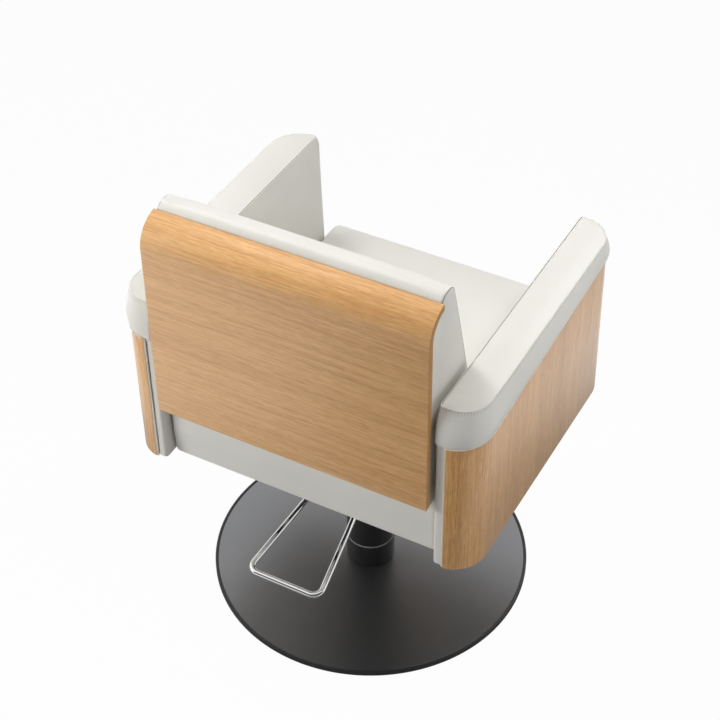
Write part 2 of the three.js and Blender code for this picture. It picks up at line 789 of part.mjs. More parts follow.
addPiece('seat_plate', seatPlate(), blackPaint());
addAlike('seat_plate_bolt', boltsBelow(plateBoltPlaces, plateBottom), steel);
addPiece('cross_bar_front', crossBar(frontBarPlace), blackPaint());
addPiece('cross_bar_rear', crossBar(rearBarPlace), blackPaint());
addAlike('cross_bar_bolt', boltsBelow(allBarBolts, plateTop - crossBarThickness), steel);
addPiece('seat_board', seatBoard(), plywood());

// Back uprights, bolted to the rear edge of the seat board
function backUpright(side) {
  const bar = block(
    side * uprightPlace - uprightWidth / 2, side * uprightPlace + uprightWidth / 2,
    uprightFront, uprightRear, boardBottom + uprightDrop, uprightTop,
  );
  return shaped(bar, { cut: uprightHoles() });
}

addPiece('back_upright_left', backUpright(1), blackPaint());
addPiece('back_upright_right', backUpright(-1), blackPaint());
addAlike('upright_bolt', uprightBoltPlaces.map((x) => alongY(
  bolt(
    boltHeadRadius, boltHeadHeight, boltShankRadius, -uprightRear - contactGap - boltHeadHeight,
    -boardRear + boltGrip,
  ), x, uprightBoltHeight,
)), steel);

// Back frame and the plywood back panel with its rolled top
const backFrameFront = uprightRear + contactGap;
const backFrameRear = panelInnerFace - contactGap;

addPiece('back_frame', block(
  -backFrameHalfWidth, backFrameHalfWidth, backFrameFront, backFrameRear, backFrameBottom, backFrameTop,
), timber());

function backPanel() {
  const endAngle = THREE.MathUtils.degToRad(panelRollAngle);
  const outline = new THREE.Shape();
  outline.moveTo(panelInnerFace, panelBottom);
  outline.lineTo(panelOuterFace, panelBottom);
  outline.absarc(panelRollCentre, panelRollStart, panelRollRadius, 0, endAngle, false);
  outline.absarc(panelRollCentre, panelRollStart, panelRollRadius - panelThickness, endAngle, 0, true);
  return closedBody(extrudedAlongX(outline, -panelHalfWidth, panelHalfWidth, tubeSegments / 4));
}

addPiece('back_panel', backPanel(), plywood());

// Padded bodies: one side profile repeated along X, drawn in and rounded towards both ends
function paddedBody(profile, halfWidth, sideRadius, swell) {
  const flatHalf = halfWidth - sideRadius;
  const flat = flatShares.map((share) => ({ x: flatHalf * share, inset: 0 }));
  const right = Array.from({ length: cornerSteps }, (_, k) => {
    const angle = ((Math.PI / 2) * (k + 1)) / cornerSteps;
    return { x: flatHalf + sideRadius * Math.sin(angle), inset: sideRadius * (1 - Math.cos(angle)) };
  });
  const left = right.map(({ x, inset }) => ({ x: -x, inset })).reverse();
  const stations = [...left, ...flat, ...right];
  return loft(stations.map(({ x, inset }) => insetLoop(profile, inset).map((p) => {
    const middleShare = 1 - (x / halfWidth) ** 2;
    const [dy, dz] = swell(p, middleShare);
    return new THREE.Vector3(x, p.x + dy, p.y + dz);
  })));
}

const between = (value, low, high) => THREE.MathUtils.clamp((value - low) / (high - low), 0, 1);

function seatCushion() {
  const profile = roundedLoop([
    [seatFrontToe, undersideHeight, seatToeRadius, 1],
    [seatRearToe, undersideHeight, seatToeRadius],
    [seatRear, seatBellyHeight, seatBellyRadius],
    [seatRear, seatEdgeHeight, seatRearRadius, 8],
    [seatFront, seatEdgeHeight, seatFrontRadius],
    [seatFront, seatBellyHeight, seatBellyRadius],
  ], cornerSteps);
  const swell = (p, middleShare) => {
    const alongShare = Math.sin(Math.PI * between(p.x, seatFront, backFootFront));
    const heightShare = between(p.y, seatBellyHeight, seatEdgeHeight);
    return [0, seatCrown * middleShare * alongShare * heightShare];
  };
  const body = paddedBody(profile, seatHalfWidth, seatSideRadius, swell);
  const boardSpace = block(
    -boardHalfWidth - contactGap, boardHalfWidth + contactGap,
    boardFront - contactGap, boardRear + contactGap,
    boardBottom - cutOverrun, boardTop + contactGap,
  );
  const barSpace = uprightRear + contactGap;
  const headSpace = barSpace + boltHeadHeight + contactGap;
  const slotBottom = boardBottom - cutOverrun;
  const slots = [-1, 1].flatMap((side) => {
    const middle = side * uprightPlace;
    const half = uprightWidth / 2 + contactGap;
    return [
      block(middle - half, middle + half, boardRear, barSpace, slotBottom, slotTop),
      block(middle - half, middle + half, boardRear, headSpace, slotBottom, boardTop + contactGap),
    ];
  });
  return shaped(body, { cut: [boardSpace, ...slots] });
}

addPiece('seat_cushion', seatCushion(), leather());

function backCushion() {
  const rear = panelInnerFace - contactGap;
  const innerRoll = panelRollRadius - panelThickness - contactGap;
  const turns = [1, 4 / 5, 3 / 5, 2 / 5, 1 / 5, 0].map((share) => (
    share * THREE.MathUtils.degToRad(panelRollAngle + panelRollOverlap)
  ));
  const underRoll = turns.map((angle) => [
    panelRollCentre + innerRoll * Math.cos(angle), panelRollStart + innerRoll * Math.sin(angle), 0,
  ]);
  const lip = panelRollCentre + panelRollRadius * Math.cos(turns[0]) - backLipStep;
  const profile = roundedLoop([
    [rear, backCushionBottom, backHeelRadius, 2],
    [backFootFront, backCushionBottom, backFootRadius, 6],
    [backFrontAtTop, backCushionTop, backTopRadius],
    [lip, backCushionTop, backLipRadius],
    ...underRoll,
  ], cornerSteps);
  const swell = (p, middleShare) => {
    const front = THREE.MathUtils.lerp(
      backFootFront, backFrontAtTop, between(p.y, backCushionBottom, backCushionTop),
    );
    const upShare = Math.sin(Math.PI * between(p.y, backCushionBottom, backCushionTop));
    const frontShare = 1 - between(p.x, front, rear);
    return [-backCrown * middleShare * upShare * frontShare ** 2, 0];
  };
  const body = paddedBody(profile, backHalfWidth, backSideRadius, swell);
  const frameSpace = block(
    -backFrameHalfWidth - contactGap, backFrameHalfWidth + contactGap, uprightRear, rear + cutOverrun,
    backFrameBottom - contactGap, backFrameTop + contactGap,
  );
  const slots = [-1, 1].map((side) => block(
    side * uprightPlace - uprightWidth / 2 - contactGap, side * uprightPlace + uprightWidth / 2 + contactGap,
    uprightFront - contactGap, uprightRear + contactGap,
    backCushionBottom - cutOverrun, uprightTop + contactGap,
  ));
  return shaped(body, { cut: [frameSpace, ...slots] });
}

addPiece('back_cushion', backCushion(), leather());

// Arms: the plan outline of the left arm, with its outer corners and inner edges rounded
function armPlan(outer, inner, rear, front, frontRadius, rearRadius, innerRadius) {
  return roundedLoop([
    [outer, front, frontRadius, 5],
    [outer, rear, rearRadius, 1],
    [inner, rear, innerRadius, 5],
    [inner, front, innerRadius, 1],
  ], cornerSteps);
}

const woodTopAt = (y) => THREE.MathUtils.lerp(
  woodTopRear, woodTopFront, (armRearFace - y) / (armRearFace - armFrontFace),
);
const lifted = (plan, heightAt) => plan.map((p) => new THREE.Vector3(p.x, p.y, heightAt(p.y)));
const woodEnd = liningOuterFace + contactGap;

// The outer outline of the wood, moved inward by a wall
function woodPlan(wall) {
  return armPlan(
    armOuterFace - wall, armInnerFace, armRearFace - wall, armFrontFace + wall,
    armFrontCornerRadius - wall, armCornerRadius - wall, padInnerEdgeRadius,
  );
}

function besideLining(face) {
  return block(
    armInnerFace - cutOverrun, face, armFrontFace - cutOverrun, armRearFace + cutOverrun,
    undersideHeight - cutOverrun, armTop + cutOverrun,
  );
}

function armShell() {
  const full = loft([lifted(woodPlan(0), () => undersideHeight), lifted(woodPlan(0), woodTopAt)]);
  const hollow = loft([
    lifted(woodPlan(shellThickness), () => undersideHeight - cutOverrun),
    lifted(woodPlan(shellThickness), () => armTop + cutOverrun),
  ]);
  return shaped(full, { cut: [hollow, besideLining(woodEnd)] });
}

function armCore() {
  const wall = shellThickness + contactGap;
  const full = loft([
    lifted(woodPlan(wall), () => undersideHeight), lifted(woodPlan(wall), woodTopAt),
  ]);
  const holes = boltHoles([[armBoltPlace, frontBarPlace], [armBoltPlace, rearBarPlace]]);
  return shaped(full, { cut: [besideLining(woodEnd), ...holes] });
}

const padRise = (y) => armTop - woodTopAt(y);

// One upholstered body: an inner lining down to the underside, and a pad above the wood
function armUpholstery() {
  const lining = [
    { inset: liningToeInset, heightAt: () => undersideHeight },
    { inset: 0, heightAt: () => undersideHeight + liningToeInset },
    { inset: 0, heightAt: woodTopAt },
    { inset: liningToeInset, heightAt: (y) => woodTopAt(y) + padRise(y) / 2 },
  ].map(({ inset, heightAt }) => lifted(liningPlan(inset), heightAt));
  const walls = [
    { riseShare: 0, outShare: 0.1, drawShare: 0 },
    { riseShare: 0.2, outShare: 0.6, drawShare: 0 },
    { riseShare: 0.45, outShare: 1, drawShare: 0.08 },
    { riseShare: 0.7, outShare: 1, drawShare: 0.35 },
    { riseShare: 0.88, outShare: 0.85, drawShare: 0.7 },
    { riseShare: 1, outShare: 0.4, drawShare: 1 },
  ].map(({ riseShare, outShare, drawShare }) => lifted(
    padPlan(padOverhang * outShare, drawShare, 0),
    (y) => woodTopAt(y) + contactGap + (padRise(y) - contactGap) * riseShare,
  ));
  const top = [
    { insetShare: 0.15, crownShare: 0.35 },
    { insetShare: 0.5, crownShare: 0.8 },
    { insetShare: 1, crownShare: 1 },
  ].map(({ insetShare, crownShare }) => lifted(
    padPlan(padOverhang * padSeamShare, 1, padTopInset * insetShare), () => armTop + padCrown * crownShare,
  ));
  return shaped(loft([...walls, ...top]), { add: [loft(lining)] });
}

function liningPlan(inset) {
  const edge = liningEdgeRadius - inset;
  return armPlan(
    liningOuterFace - inset, armInnerFace + inset, armRearFace - inset, armFrontFace + inset,
    edge, edge, edge,
  );
}

// The pad's outline: drawn in towards the top seam at its inner side and both ends.
// Its outer corners stay clear of its inner edges where the outline gets narrow.
function padPlan(out, drawShare, inset) {
  const outer = armOuterFace + out - inset;
  const inner = armInnerFace + padInnerDraw * drawShare + inset;
  const widest = outer - inner - padInnerEdgeRadius - cornerSpare;
  return armPlan(
    outer, inner,
    armRearFace - padRearDraw * drawShare - inset, armFrontFace + padFrontDraw * drawShare + inset,
    Math.min(armFrontCornerRadius - padFrontDraw * drawShare - inset, widest),
    Math.min(armCornerRadius - padRearDraw * drawShare - inset, widest), padInnerEdgeRadius,
  );
}

for (const [name, make, finish] of [
  ['arm_shell', armShell, plywood],
  ['arm_core', armCore, timber],
  ['arm_upholstery', armUpholstery, leather],
]) {
  const left = make();
  addPiece(`${name}_left`, left, finish());
  addPiece(`${name}_right`, mirrored(left), finish());
}

export default chair;
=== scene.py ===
"""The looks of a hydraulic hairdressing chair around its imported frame: upholstery, veneer, metal, floor,
lamps and camera. Shapes are written in millimetres in the frame's own axes: Z is up, the floor is z = 0,
the column stands on the Z axis, the sitter faces -Y and the sitter's left is +X."""
import math

import bmesh
import bpy
from mathutils import Matrix, Vector, noise


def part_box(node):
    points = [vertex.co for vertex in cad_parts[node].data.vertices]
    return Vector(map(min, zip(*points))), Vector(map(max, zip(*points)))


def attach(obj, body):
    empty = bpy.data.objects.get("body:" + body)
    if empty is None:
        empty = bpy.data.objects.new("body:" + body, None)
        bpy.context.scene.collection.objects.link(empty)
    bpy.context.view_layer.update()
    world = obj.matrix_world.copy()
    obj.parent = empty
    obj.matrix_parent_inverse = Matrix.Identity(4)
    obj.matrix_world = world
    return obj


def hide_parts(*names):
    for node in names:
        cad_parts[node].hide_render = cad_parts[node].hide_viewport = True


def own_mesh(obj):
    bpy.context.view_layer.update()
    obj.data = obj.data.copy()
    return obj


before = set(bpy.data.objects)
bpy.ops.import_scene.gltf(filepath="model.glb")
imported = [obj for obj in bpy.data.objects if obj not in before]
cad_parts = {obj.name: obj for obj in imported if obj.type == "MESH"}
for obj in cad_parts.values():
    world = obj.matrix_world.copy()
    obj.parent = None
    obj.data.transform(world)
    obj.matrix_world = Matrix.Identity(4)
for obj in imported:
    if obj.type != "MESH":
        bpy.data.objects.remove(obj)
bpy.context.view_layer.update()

MM = 0.001
QUARTER = math.pi / 2

# Sizes of the chair, the same as in its construction source
UNDERSIDE = 368.0
ARM_TOP = 711.0
ARM_OUTER, ARM_INNER = 330.0, 259.0
ARM_FRONT, ARM_REAR = -291.0, 269.0
ARM_MIDDLE = (ARM_FRONT + ARM_REAR) / 2
REAR_CORNER, FRONT_CORNER = 58.0, 66.0
LINING_OUTER, LINING_EDGE = 277.2, 7.0
LINING_REAR, LINING_FRONT = 265.5, -293.0
LINING_GAP, WELT, WELT_OUT = 2.3, 1.75, 0.8
BOARD_END = LINING_OUTER + 0.9
CHAMFER_ALONG, CHAMFER_DEEP = 0.8, 2.0
ARM_LEAN = 15.0
WOOD_TOP_REAR, WOOD_TOP_FRONT = 640.0, 682.0
BOARD_WALL, BOARD_LAYERS, COVER_PLAY = 12.0, 9, 0.3
SPRING_WIRE, SPRING_TURNS, PLUNGER_STROKE = 1.2, 6, 7.2
SEAT_HALF, SEAT_FRONT, SEAT_REAR, SEAT_TOP, SEAT_BELLY = 257.0, -353.0, 248.0, 483.0, 427.0
BACK_HALF, BACK_TOP, BACK_BOTTOM = 250.0, 897.0, 487.0
PANEL_HALF, PANEL_OUTER, PANEL_BOTTOM = 253.5, 280.0, 498.0
ROLL_START, ROLL_RADIUS, ROLL_ANGLE = 837.6, 52.0, math.radians(84)
ROLL_CENTRE = PANEL_OUTER - ROLL_RADIUS
DISC_RADIUS, DISC_THICKNESS = 300.0, 10.0
PIVOT_Y, PIVOT_Z = 64.0, 280.0
PEDAL_END_Y, PEDAL_END_Z = 317.0, 229.0
PEDAL_ROOT, PEDAL_END, PEDAL_TUBE = 36.6, 71.0, 5.5
SIM_FRAMES = 20
WELD_WITHIN = 0.02 * MM
SMOOTH_BELOW = math.radians(32)


# Shader values

class Field:
    """A value that changes over a surface. Arithmetic on it adds Math nodes to its graph."""

    def __init__(self, graph, socket):
        self.graph, self.socket = graph, socket

    def _math(self, operation, first, second=0.0):
        return self.graph.add("ShaderNodeMath", {"operation": operation}, {0: first, 1: second})

    def __add__(self, other):
        return self._math("ADD", self, other)

    def __sub__(self, other):
        return self._math("SUBTRACT", self, other)

    def __rsub__(self, other):
        return self._math("SUBTRACT", other, self)

    def __mul__(self, other):
        return self._math("MULTIPLY", self, other)

    def __truediv__(self, other):
        return self._math("DIVIDE", self, other)

    def __pow__(self, other):
        return self._math("POWER", self, other)

    def __abs__(self):
        return self._math("ABSOLUTE", self)

    def __lt__(self, other):
        return self._math("LESS_THAN", self, other)

    def least(self, other):
        return self._math("MINIMUM", self, other)

    def most(self, other):
        return self._math("MAXIMUM", self, other)

    __radd__, __rmul__ = __add__, __mul__


class Graph:
    """The nodes of a material or of the world."""

    def __init__(self, tree):
        self.tree = tree

    def _feed(self, socket, value):
        if isinstance(value, Field):
            self.tree.links.new(value.socket, socket)
        else:
            socket.default_value = value

    def add(self, kind, settings=None, inputs=None, output=0):
        """Adds a node: its settings first, such as an operation, then its sockets."""
        node = self.tree.nodes.new(kind)
        for name, value in (settings or {}).items():
            setattr(node, name, value)
        for key, value in (inputs or {}).items():
            self._feed(node.inputs[key], value)
        return Field(self, node.outputs[output]) if node.outputs else node

    def place(self, *stretch):
        """The place on the piece in metres, stretched along each axis."""
        here = self.add("ShaderNodeTexCoord", output="Object")
        return self.add("ShaderNodeVectorMath", {"operation": "MULTIPLY"}, {0: here, 1: stretch or (1, 1, 1)})

    def along(self, vector, axis):
        return self.add("ShaderNodeSeparateXYZ", inputs={0: vector}, output=axis)

    def clouds(self, vector, scale, detail=2.0, roughness=0.5):
        return self.add("ShaderNodeTexNoise", inputs={
            "Vector": vector, "Scale": scale, "Detail": detail, "Roughness": roughness})

    def cells(self, vector, scale, feature="F1"):
        return self.add("ShaderNodeTexVoronoi", {"feature": feature}, {"Vector": vector, "Scale": scale})

    def spread(self, value, low, high, to_low=0.0, to_high=1.0):
        """Maps low..high to to_low..to_high, smoothly and held at both ends."""
        return self.add("ShaderNodeMapRange", {"interpolation_type": "SMOOTHSTEP"}, {
            "Value": value, "From Min": low, "From Max": high, "To Min": to_low, "To Max": to_high})

    def mixed(self, share, first, second):
        """A colour between two colours."""
        colours = [(*c, 1) if isinstance(c, tuple) else c for c in (first, second)]
        return self.add("ShaderNodeMix", {"data_type": "RGBA", "clamp_factor": True}, {
            0: share, 6: colours[0], 7: colours[1]}, output=2)

    def ray_is(self, *kinds):
        """1 for rays of these kinds, otherwise 0."""
        total = 0.0
        for kind in kinds:
            total = self.add("ShaderNodeLightPath", output=f"Is {kind} Ray") + total
        return total.least(1.0)


class Finish(Graph):
    """The finish of a surface: one shader and the nodes that feed it."""

    def __init__(self, name, colour, roughness, metallic=0.0, **constants):
        self.material = bpy.data.materials.new(name)
        self.material.use_nodes = True
        super().__init__(self.material.node_tree)
        self.shader = self.tree.nodes["Principled BSDF"]
        self.set(Base_Color=(*colour, 1), Roughness=roughness, Metallic=metallic, **constants)

    def set(self, **values):
        """Gives sockets of the shader a constant or a changing value."""
        for name, value in values.items():
            self._feed(self.shader.inputs[name.replace("_", " ")], value)

    def relief(self, height, depth_mm, strength=1.0):
        """Feeds the shader's Normal with a bump of the given depth."""
        self.set(Normal=self.add("ShaderNodeBump", inputs={
            "Height": height, "Distance": depth_mm * MM, "Strength": strength}))


def srgb(red, green, blue):
    """A colour written as it is seen, from 0 to 255, as the shader's linear colour."""
    return tuple(
        s / 12.92 if s <= 0.04045 else ((s + 0.055) / 1.055) ** 2.4
        for s in (red / 255, green / 255, blue / 255)
    )


def toned(colour, factor):
    return tuple(min(1.0, c * factor) for c in colour)


# Finishes

def leather(name, light, dark):
    """Pale upholstery leather: fine pebbled grain under a soft gloss, even in colour, with painted shade in the
    grain's valleys.
    """
    hide = Finish(name, light, 0.42, Specular_IOR_Level=0.5, Coat_Roughness=0.34)
    here = hide.place()
    pebble_tops = hide.spread(hide.cells(here, 520, "DISTANCE_TO_EDGE"), 0.0, 0.2)
    fine = hide.clouds(here, 2300, 2)
    skin = hide.clouds(here, 150, 3, 0.6)
    drift = hide.clouds(here, 5, 2)
    base = hide.mixed(hide.spread(drift, 0.35, 0.65), dark, light)
    # Darker in the pebbles' valleys, where the relief sinks: painted shade. The skin noise adds a faint random
    # mottle.
    grain_valley_shade_and_mottle = (1 - pebble_tops) * 0.09 + hide.spread(skin, 0.5, 0.75) * 0.03
    hide.set(
        Base_Color=hide.mixed(grain_valley_shade_and_mottle, base, toned(dark, 0.7)),
        Roughness=0.34 + pebble_tops * 0.06 + skin * 0.08,
        Coat_Weight=0.25 + hide.spread(skin, 0.3, 0.7) * 0.2,
    )
    hide.relief(pebble_tops * 0.5 + fine * 0.25 + skin * 1.3, 0.13, 0.75)
    return hide.material


def veneer(name, grain_axis, light, dark, lacquer=1.0):
    """Straight-grained veneer under satin lacquer: fine streaks, pores and short pale flecks."""
    wood = Finish(
        name, light, 0.5, Specular_IOR_Level=0.3, Coat_Weight=lacquer, Coat_IOR=1.5, Coat_Roughness=0.24)

    def grain(along, across):
        stretch = [across] * 3
        stretch[grain_axis] = along
        return wood.place(*stretch)

    sway = wood.clouds(grain(2.2, 2.2), 1.0, 2) * 1.3
    drift = wood.add("ShaderNodeVectorMath", {"operation": "ADD"}, {
        0: grain(1.3, 130), 1: wood.add("ShaderNodeCombineXYZ", inputs={0: sway, 1: sway, 2: sway})})
    bands = wood.clouds(drift, 1.0, 3, 0.5)
    streaks = wood.clouds(grain(9, 430), 1.0, 3, 0.65)
    lines = wood.clouds(grain(45, 760), 1.0, 2, 0.6)
    broad = wood.clouds(grain(0.9, 30), 1.0, 2)
    tone = bands * 0.16 + streaks * 0.36 + lines * 0.34 + broad * 0.14
    body = wood.mixed(wood.spread(tone, 0.37, 0.63), light, dark)
    pore_mask = wood.spread(wood.clouds(grain(60, 1700), 1.0, 2, 0.6), 0.56, 0.72)
    body = wood.mixed(pore_mask * 0.22, body, toned(dark, 0.55))
    fleck_mask = wood.spread(wood.cells(grain(70, 520), 1.0), 0.2, 0.06)
    wood.set(
        Base_Color=wood.mixed(fleck_mask * 0.3, body, toned(light, 1.1)),
        Roughness=0.42 + pore_mask * 0.2,
        Coat_Weight=lacquer - pore_mask * 0.3,
    )
    wood.relief(1 - pore_mask * 0.8 - wood.spread(streaks, 0.5, 0.7) * 0.25, 0.05, 0.6)
    return wood.material


def ply_edge(name, depth, light, dark):
    """The cut edge of a bent board: thin layers, alternately long and end grain. depth is in layers."""
    edge = Finish(name, light, 0.6, Specular_IOR_Level=0.4)
    wave = edge.add("ShaderNodeMath", {"operation": "PINGPONG"}, {0: depth(edge), 1: 1.0})
    end_grain = edge.spread(wave, 0.42, 0.58)
    fibres = edge.clouds(edge.place(700, 700, 700), 1.0, 3)
    tone = edge.mixed(end_grain, light, dark)
    edge.set(
        Base_Color=edge.mixed(edge.spread(fibres, 0.45, 0.7) * 0.3, tone, toned(dark, 0.7)),
        Roughness=0.55 + fibres * 0.2,
    )
    edge.relief(fibres + end_grain * 0.4, 0.08, 0.6)
    return edge.material


def painted(name, colour, roughness, metallic, peel_mm=0.03, peel_scale=900, wiped=0.05):
    """Powder-coated metal: fine orange peel, faint handling marks."""
    paint = Finish(name, colour, roughness, metallic)
    here = paint.place()
    peel = paint.clouds(here, peel_scale, 2)
    dust = paint.clouds(here, 5, 3, 0.6)
    wipes = paint.clouds(paint.place(14, 90, 14), 1.0, 3, 0.55)
    paint.set(
        Base_Color=paint.mixed(paint.spread(dust, 0.4, 0.75) * 0.3, colour, toned(colour, 1.15)),
        Roughness=roughness - 0.04 + peel * 0.04 + wipes * wiped,
    )
    paint.relief(peel, peel_mm, 0.5)
    return paint.material


def bright_metal(name, colour, roughness, brushed=False):
    """Chrome or turned steel, with faint polishing marks."""
    metal = Finish(name, colour, roughness, 1.0)
    marks = metal.clouds(metal.place(35, 35, 900 if brushed else 60), 1.0, 3)
    smears = metal.spread(metal.clouds(metal.place(), 28, 3, 0.6), 0.45, 0.8)
    metal.set(
        Base_Color=metal.mixed(smears * 0.25, colour, toned(colour, 0.86)),
        Roughness=roughness + marks * (0.14 if brushed else 0.02) + smears * 0.03,
    )
    metal.relief(marks, 0.02 if brushed else 0.003, 0.4)
    return metal.material


def cast(name, colour):
    """Sand-cast and painted iron: uneven skin with fine pits."""
    iron = Finish(name, colour, 0.55, 0.4)
    here = iron.place()
    skin = iron.clouds(here, 240, 4, 0.6)
    pits = iron.spread(iron.cells(here, 420), 0.22, 0.05)
    iron.set(
        Base_Color=iron.mixed(iron.spread(skin, 0.4, 0.7) * 0.5, colour, toned(colour, 1.5)),
        Roughness=0.46 + skin * 0.2,
    )
    iron.relief(skin - pits * 0.6, 0.25, 0.6)
    return iron.material


def moulded(name, colour, roughness):
    """Moulded plastic or rubber with a fine matt skin."""
    plastic = Finish(name, colour, roughness)
    skin = plastic.clouds(plastic.place(), 1400, 2)
    haze = plastic.clouds(plastic.place(), 30, 3)
    plastic.set(
        Base_Color=plastic.mixed(haze, toned(colour, 0.9), colour),
        Roughness=roughness - 0.05 + skin * 0.12,
    )
    plastic.relief(skin, 0.02, 0.5)
    return plastic.material


def thread(name, colour):
    """Twisted sewing thread or a thin leather cord, darker in the grooves of its twist: painted shade."""
    strand = Finish(name, colour, 0.55)
    twist = strand.add("ShaderNodeTexWave", {"wave_type": "BANDS", "bands_direction": "DIAGONAL"}, {
        "Vector": strand.place(), "Scale": 260, "Distortion": 1.5, "Detail": 1})
    # Light on the twist's ridges and darker in its grooves: painted shade.
    strand.set(
        Base_Color=strand.mixed(twist, toned(colour, 0.88), colour),
        Roughness=0.5 + twist * 0.15,
    )
    strand.relief(twist, 0.1, 0.5)
    return strand.material


def panel_layers(edge):
    """How deep a point of the back panel lies, in layers of the board, on its flat part or in its roll."""
    here = edge.place()
    rise = (edge.along(here, 2) - ROLL_START * MM).most(0.0)
    run = edge.along(here, 1) - ROLL_CENTRE * MM
    return (ROLL_RADIUS * MM - (run * run + rise * rise) ** 0.5) / (BOARD_WALL * MM / BOARD_LAYERS)


def shell_layers(edge):
    """How deep a point of an arm's board lies, by its distance from the arm's outer faces."""
    here = edge.place()
    x, y = abs(edge.along(here, 0)), edge.along(here, 1)
    corner = REAR_CORNER * MM + (y < ARM_MIDDLE * MM) * ((FRONT_CORNER - REAR_CORNER) * MM)
    past_corner = (abs(y - ARM_MIDDLE * MM) - (ARM_REAR - ARM_MIDDLE) * MM + corner).most(0.0)
    out = (x - ARM_OUTER * MM + corner).most(0.0)
    return (corner - (out * out + past_corner * past_corner) ** 0.5) / (BOARD_WALL * MM / BOARD_LAYERS)


HIDE = srgb(233, 231, 224), srgb(228, 226, 218)
OAK_BACK = srgb(238, 189, 128), srgb(207, 152, 94)
OAK_ARM = srgb(236, 183, 114), srgb(196, 139, 78)
BEECH = srgb(206, 176, 138), srgb(176, 138, 96)

finishes = {
    "base_paint": painted("satin_graphite_base", (0.245, 0.248, 0.256), 0.31, 0.9, 0.004, 900, 0.012),
    "column_paint": painted("satin_black_column", (0.022, 0.022, 0.023), 0.4, 0.0),
    "frame_paint": painted("black_frame_paint", (0.02, 0.02, 0.021), 0.5, 0.0, 0.05, 500),
    "glide_ring": moulded("grey_glide_ring", srgb(150, 150, 152), 0.4),
    "bush_plastic": moulded("nylon_bush", srgb(206, 204, 196), 0.45),
    "seal_rubber": moulded("seal_rubber", srgb(28, 28, 30), 0.75),
    "steel": bright_metal("turned_steel", (0.56, 0.57, 0.59), 0.26, brushed=True),
    "ram_chrome": bright_metal("hard_chrome", (0.78, 0.79, 0.81), 0.1),
    "pedal_chrome": bright_metal("polished_chrome", (0.93, 0.93, 0.94), 0.05),
    "cast_head": cast("cast_pump_head", (0.03, 0.031, 0.034)),
    "inner_timber": veneer("beech_core", 2, *BEECH, lacquer=0.1),
    "wood_back": veneer("oak_back_veneer", 0, *OAK_BACK),
    "wood_arm": veneer("oak_arm_veneer", 2, *OAK_ARM),
    **{f"{part}_leather": leather(f"{part}_hide", *HIDE) for part in ("seat", "back", "arm")},
}
back_ply = ply_edge("oak_back_ply_edge", panel_layers, srgb(206, 160, 104), srgb(176, 128, 78))
arm_ply = ply_edge("oak_arm_ply_edge", shell_layers, srgb(250, 246, 234), srgb(240, 228, 204))
piping_finish = thread("cream_piping", srgb(240, 237, 226))
# Grey thread for the top stitches; its grey also paints the shadows between the band's gathers (painted shade).
stitch_and_gather_shade = thread("grey_stitching_and_gather_shade", srgb(190, 187, 176))
# A dark grey cord laid along seams: a painted shadow line beside the seam.
welt_shadow = thread("grey_welt", srgb(120, 117, 108))


# CAD nodes that show as they are

def softened_edges():
    """A node group that welds a node's split points and shades its curved faces smooth."""
    group = bpy.data.node_groups.new("smooth_by_angle", "GeometryNodeTree")
    group.interface.new_socket("Geometry", in_out="INPUT", socket_type="NodeSocketGeometry")
    group.interface.new_socket("Geometry", in_out="OUTPUT", socket_type="NodeSocketGeometry")
    graph = Graph(group)
    piece = graph.add("NodeGroupInput")
    piece = graph.add("GeometryNodeRemoveAttribute", inputs={"Geometry": piece, "Name": "custom_normal"})
    piece = graph.add("GeometryNodeMergeByDistance", inputs={"Geometry": piece, "Distance": WELD_WITHIN})
    piece = graph.add("GeometryNodeSetShadeSmooth", {"domain": "FACE"}, {"Geometry": piece, "Shade Smooth": True})
    angle = graph.add("GeometryNodeInputMeshEdgeAngle")
    sharp = graph.add("FunctionNodeCompare", {"data_type": "FLOAT", "operation": "GREATER_THAN"}, {
        0: angle, 1: SMOOTH_BELOW})
    piece = graph.add("GeometryNodeSetShadeSmooth", {"domain": "EDGE"}, {
        "Geometry": piece, "Selection": sharp, "Shade Smooth": False})
    graph.add("NodeGroupOutput", inputs={"Geometry": piece})
    return group


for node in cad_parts.values():
    for held in node.material_slots:
        held.material = finishes[held.material.name.split(".")[0]]


# Shapes

def made(name, points, faces, body, slot_name, materials, material_of=None):
    """A new piece from points in millimetres, riding on a body."""
    mesh = bpy.data.meshes.new(name)
    mesh.from_pydata([tuple(c * MM for c in p) for p in points], [], faces)
    mesh.validate()
    piece = bpy.data.objects.new(name, mesh)
    bpy.context.scene.collection.objects.link(piece)
    for material in materials:
        mesh.materials.append(material)
    if material_of:
        for face in mesh.polygons:
            face.material_index = material_of(face)
    outward(mesh)
    mesh.shade_smooth()
    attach(piece, body)
    return piece


replaced = set()


def stands_for(name):
    """The piece is shown in place of this node."""
    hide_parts(name)
    replaced.add(name)


def outward(mesh):
    shape = bmesh.new()
    shape.from_mesh(mesh)
    bmesh.ops.recalc_face_normals(shape, faces=shape.faces)
    shape.to_mesh(mesh)
    shape.free()


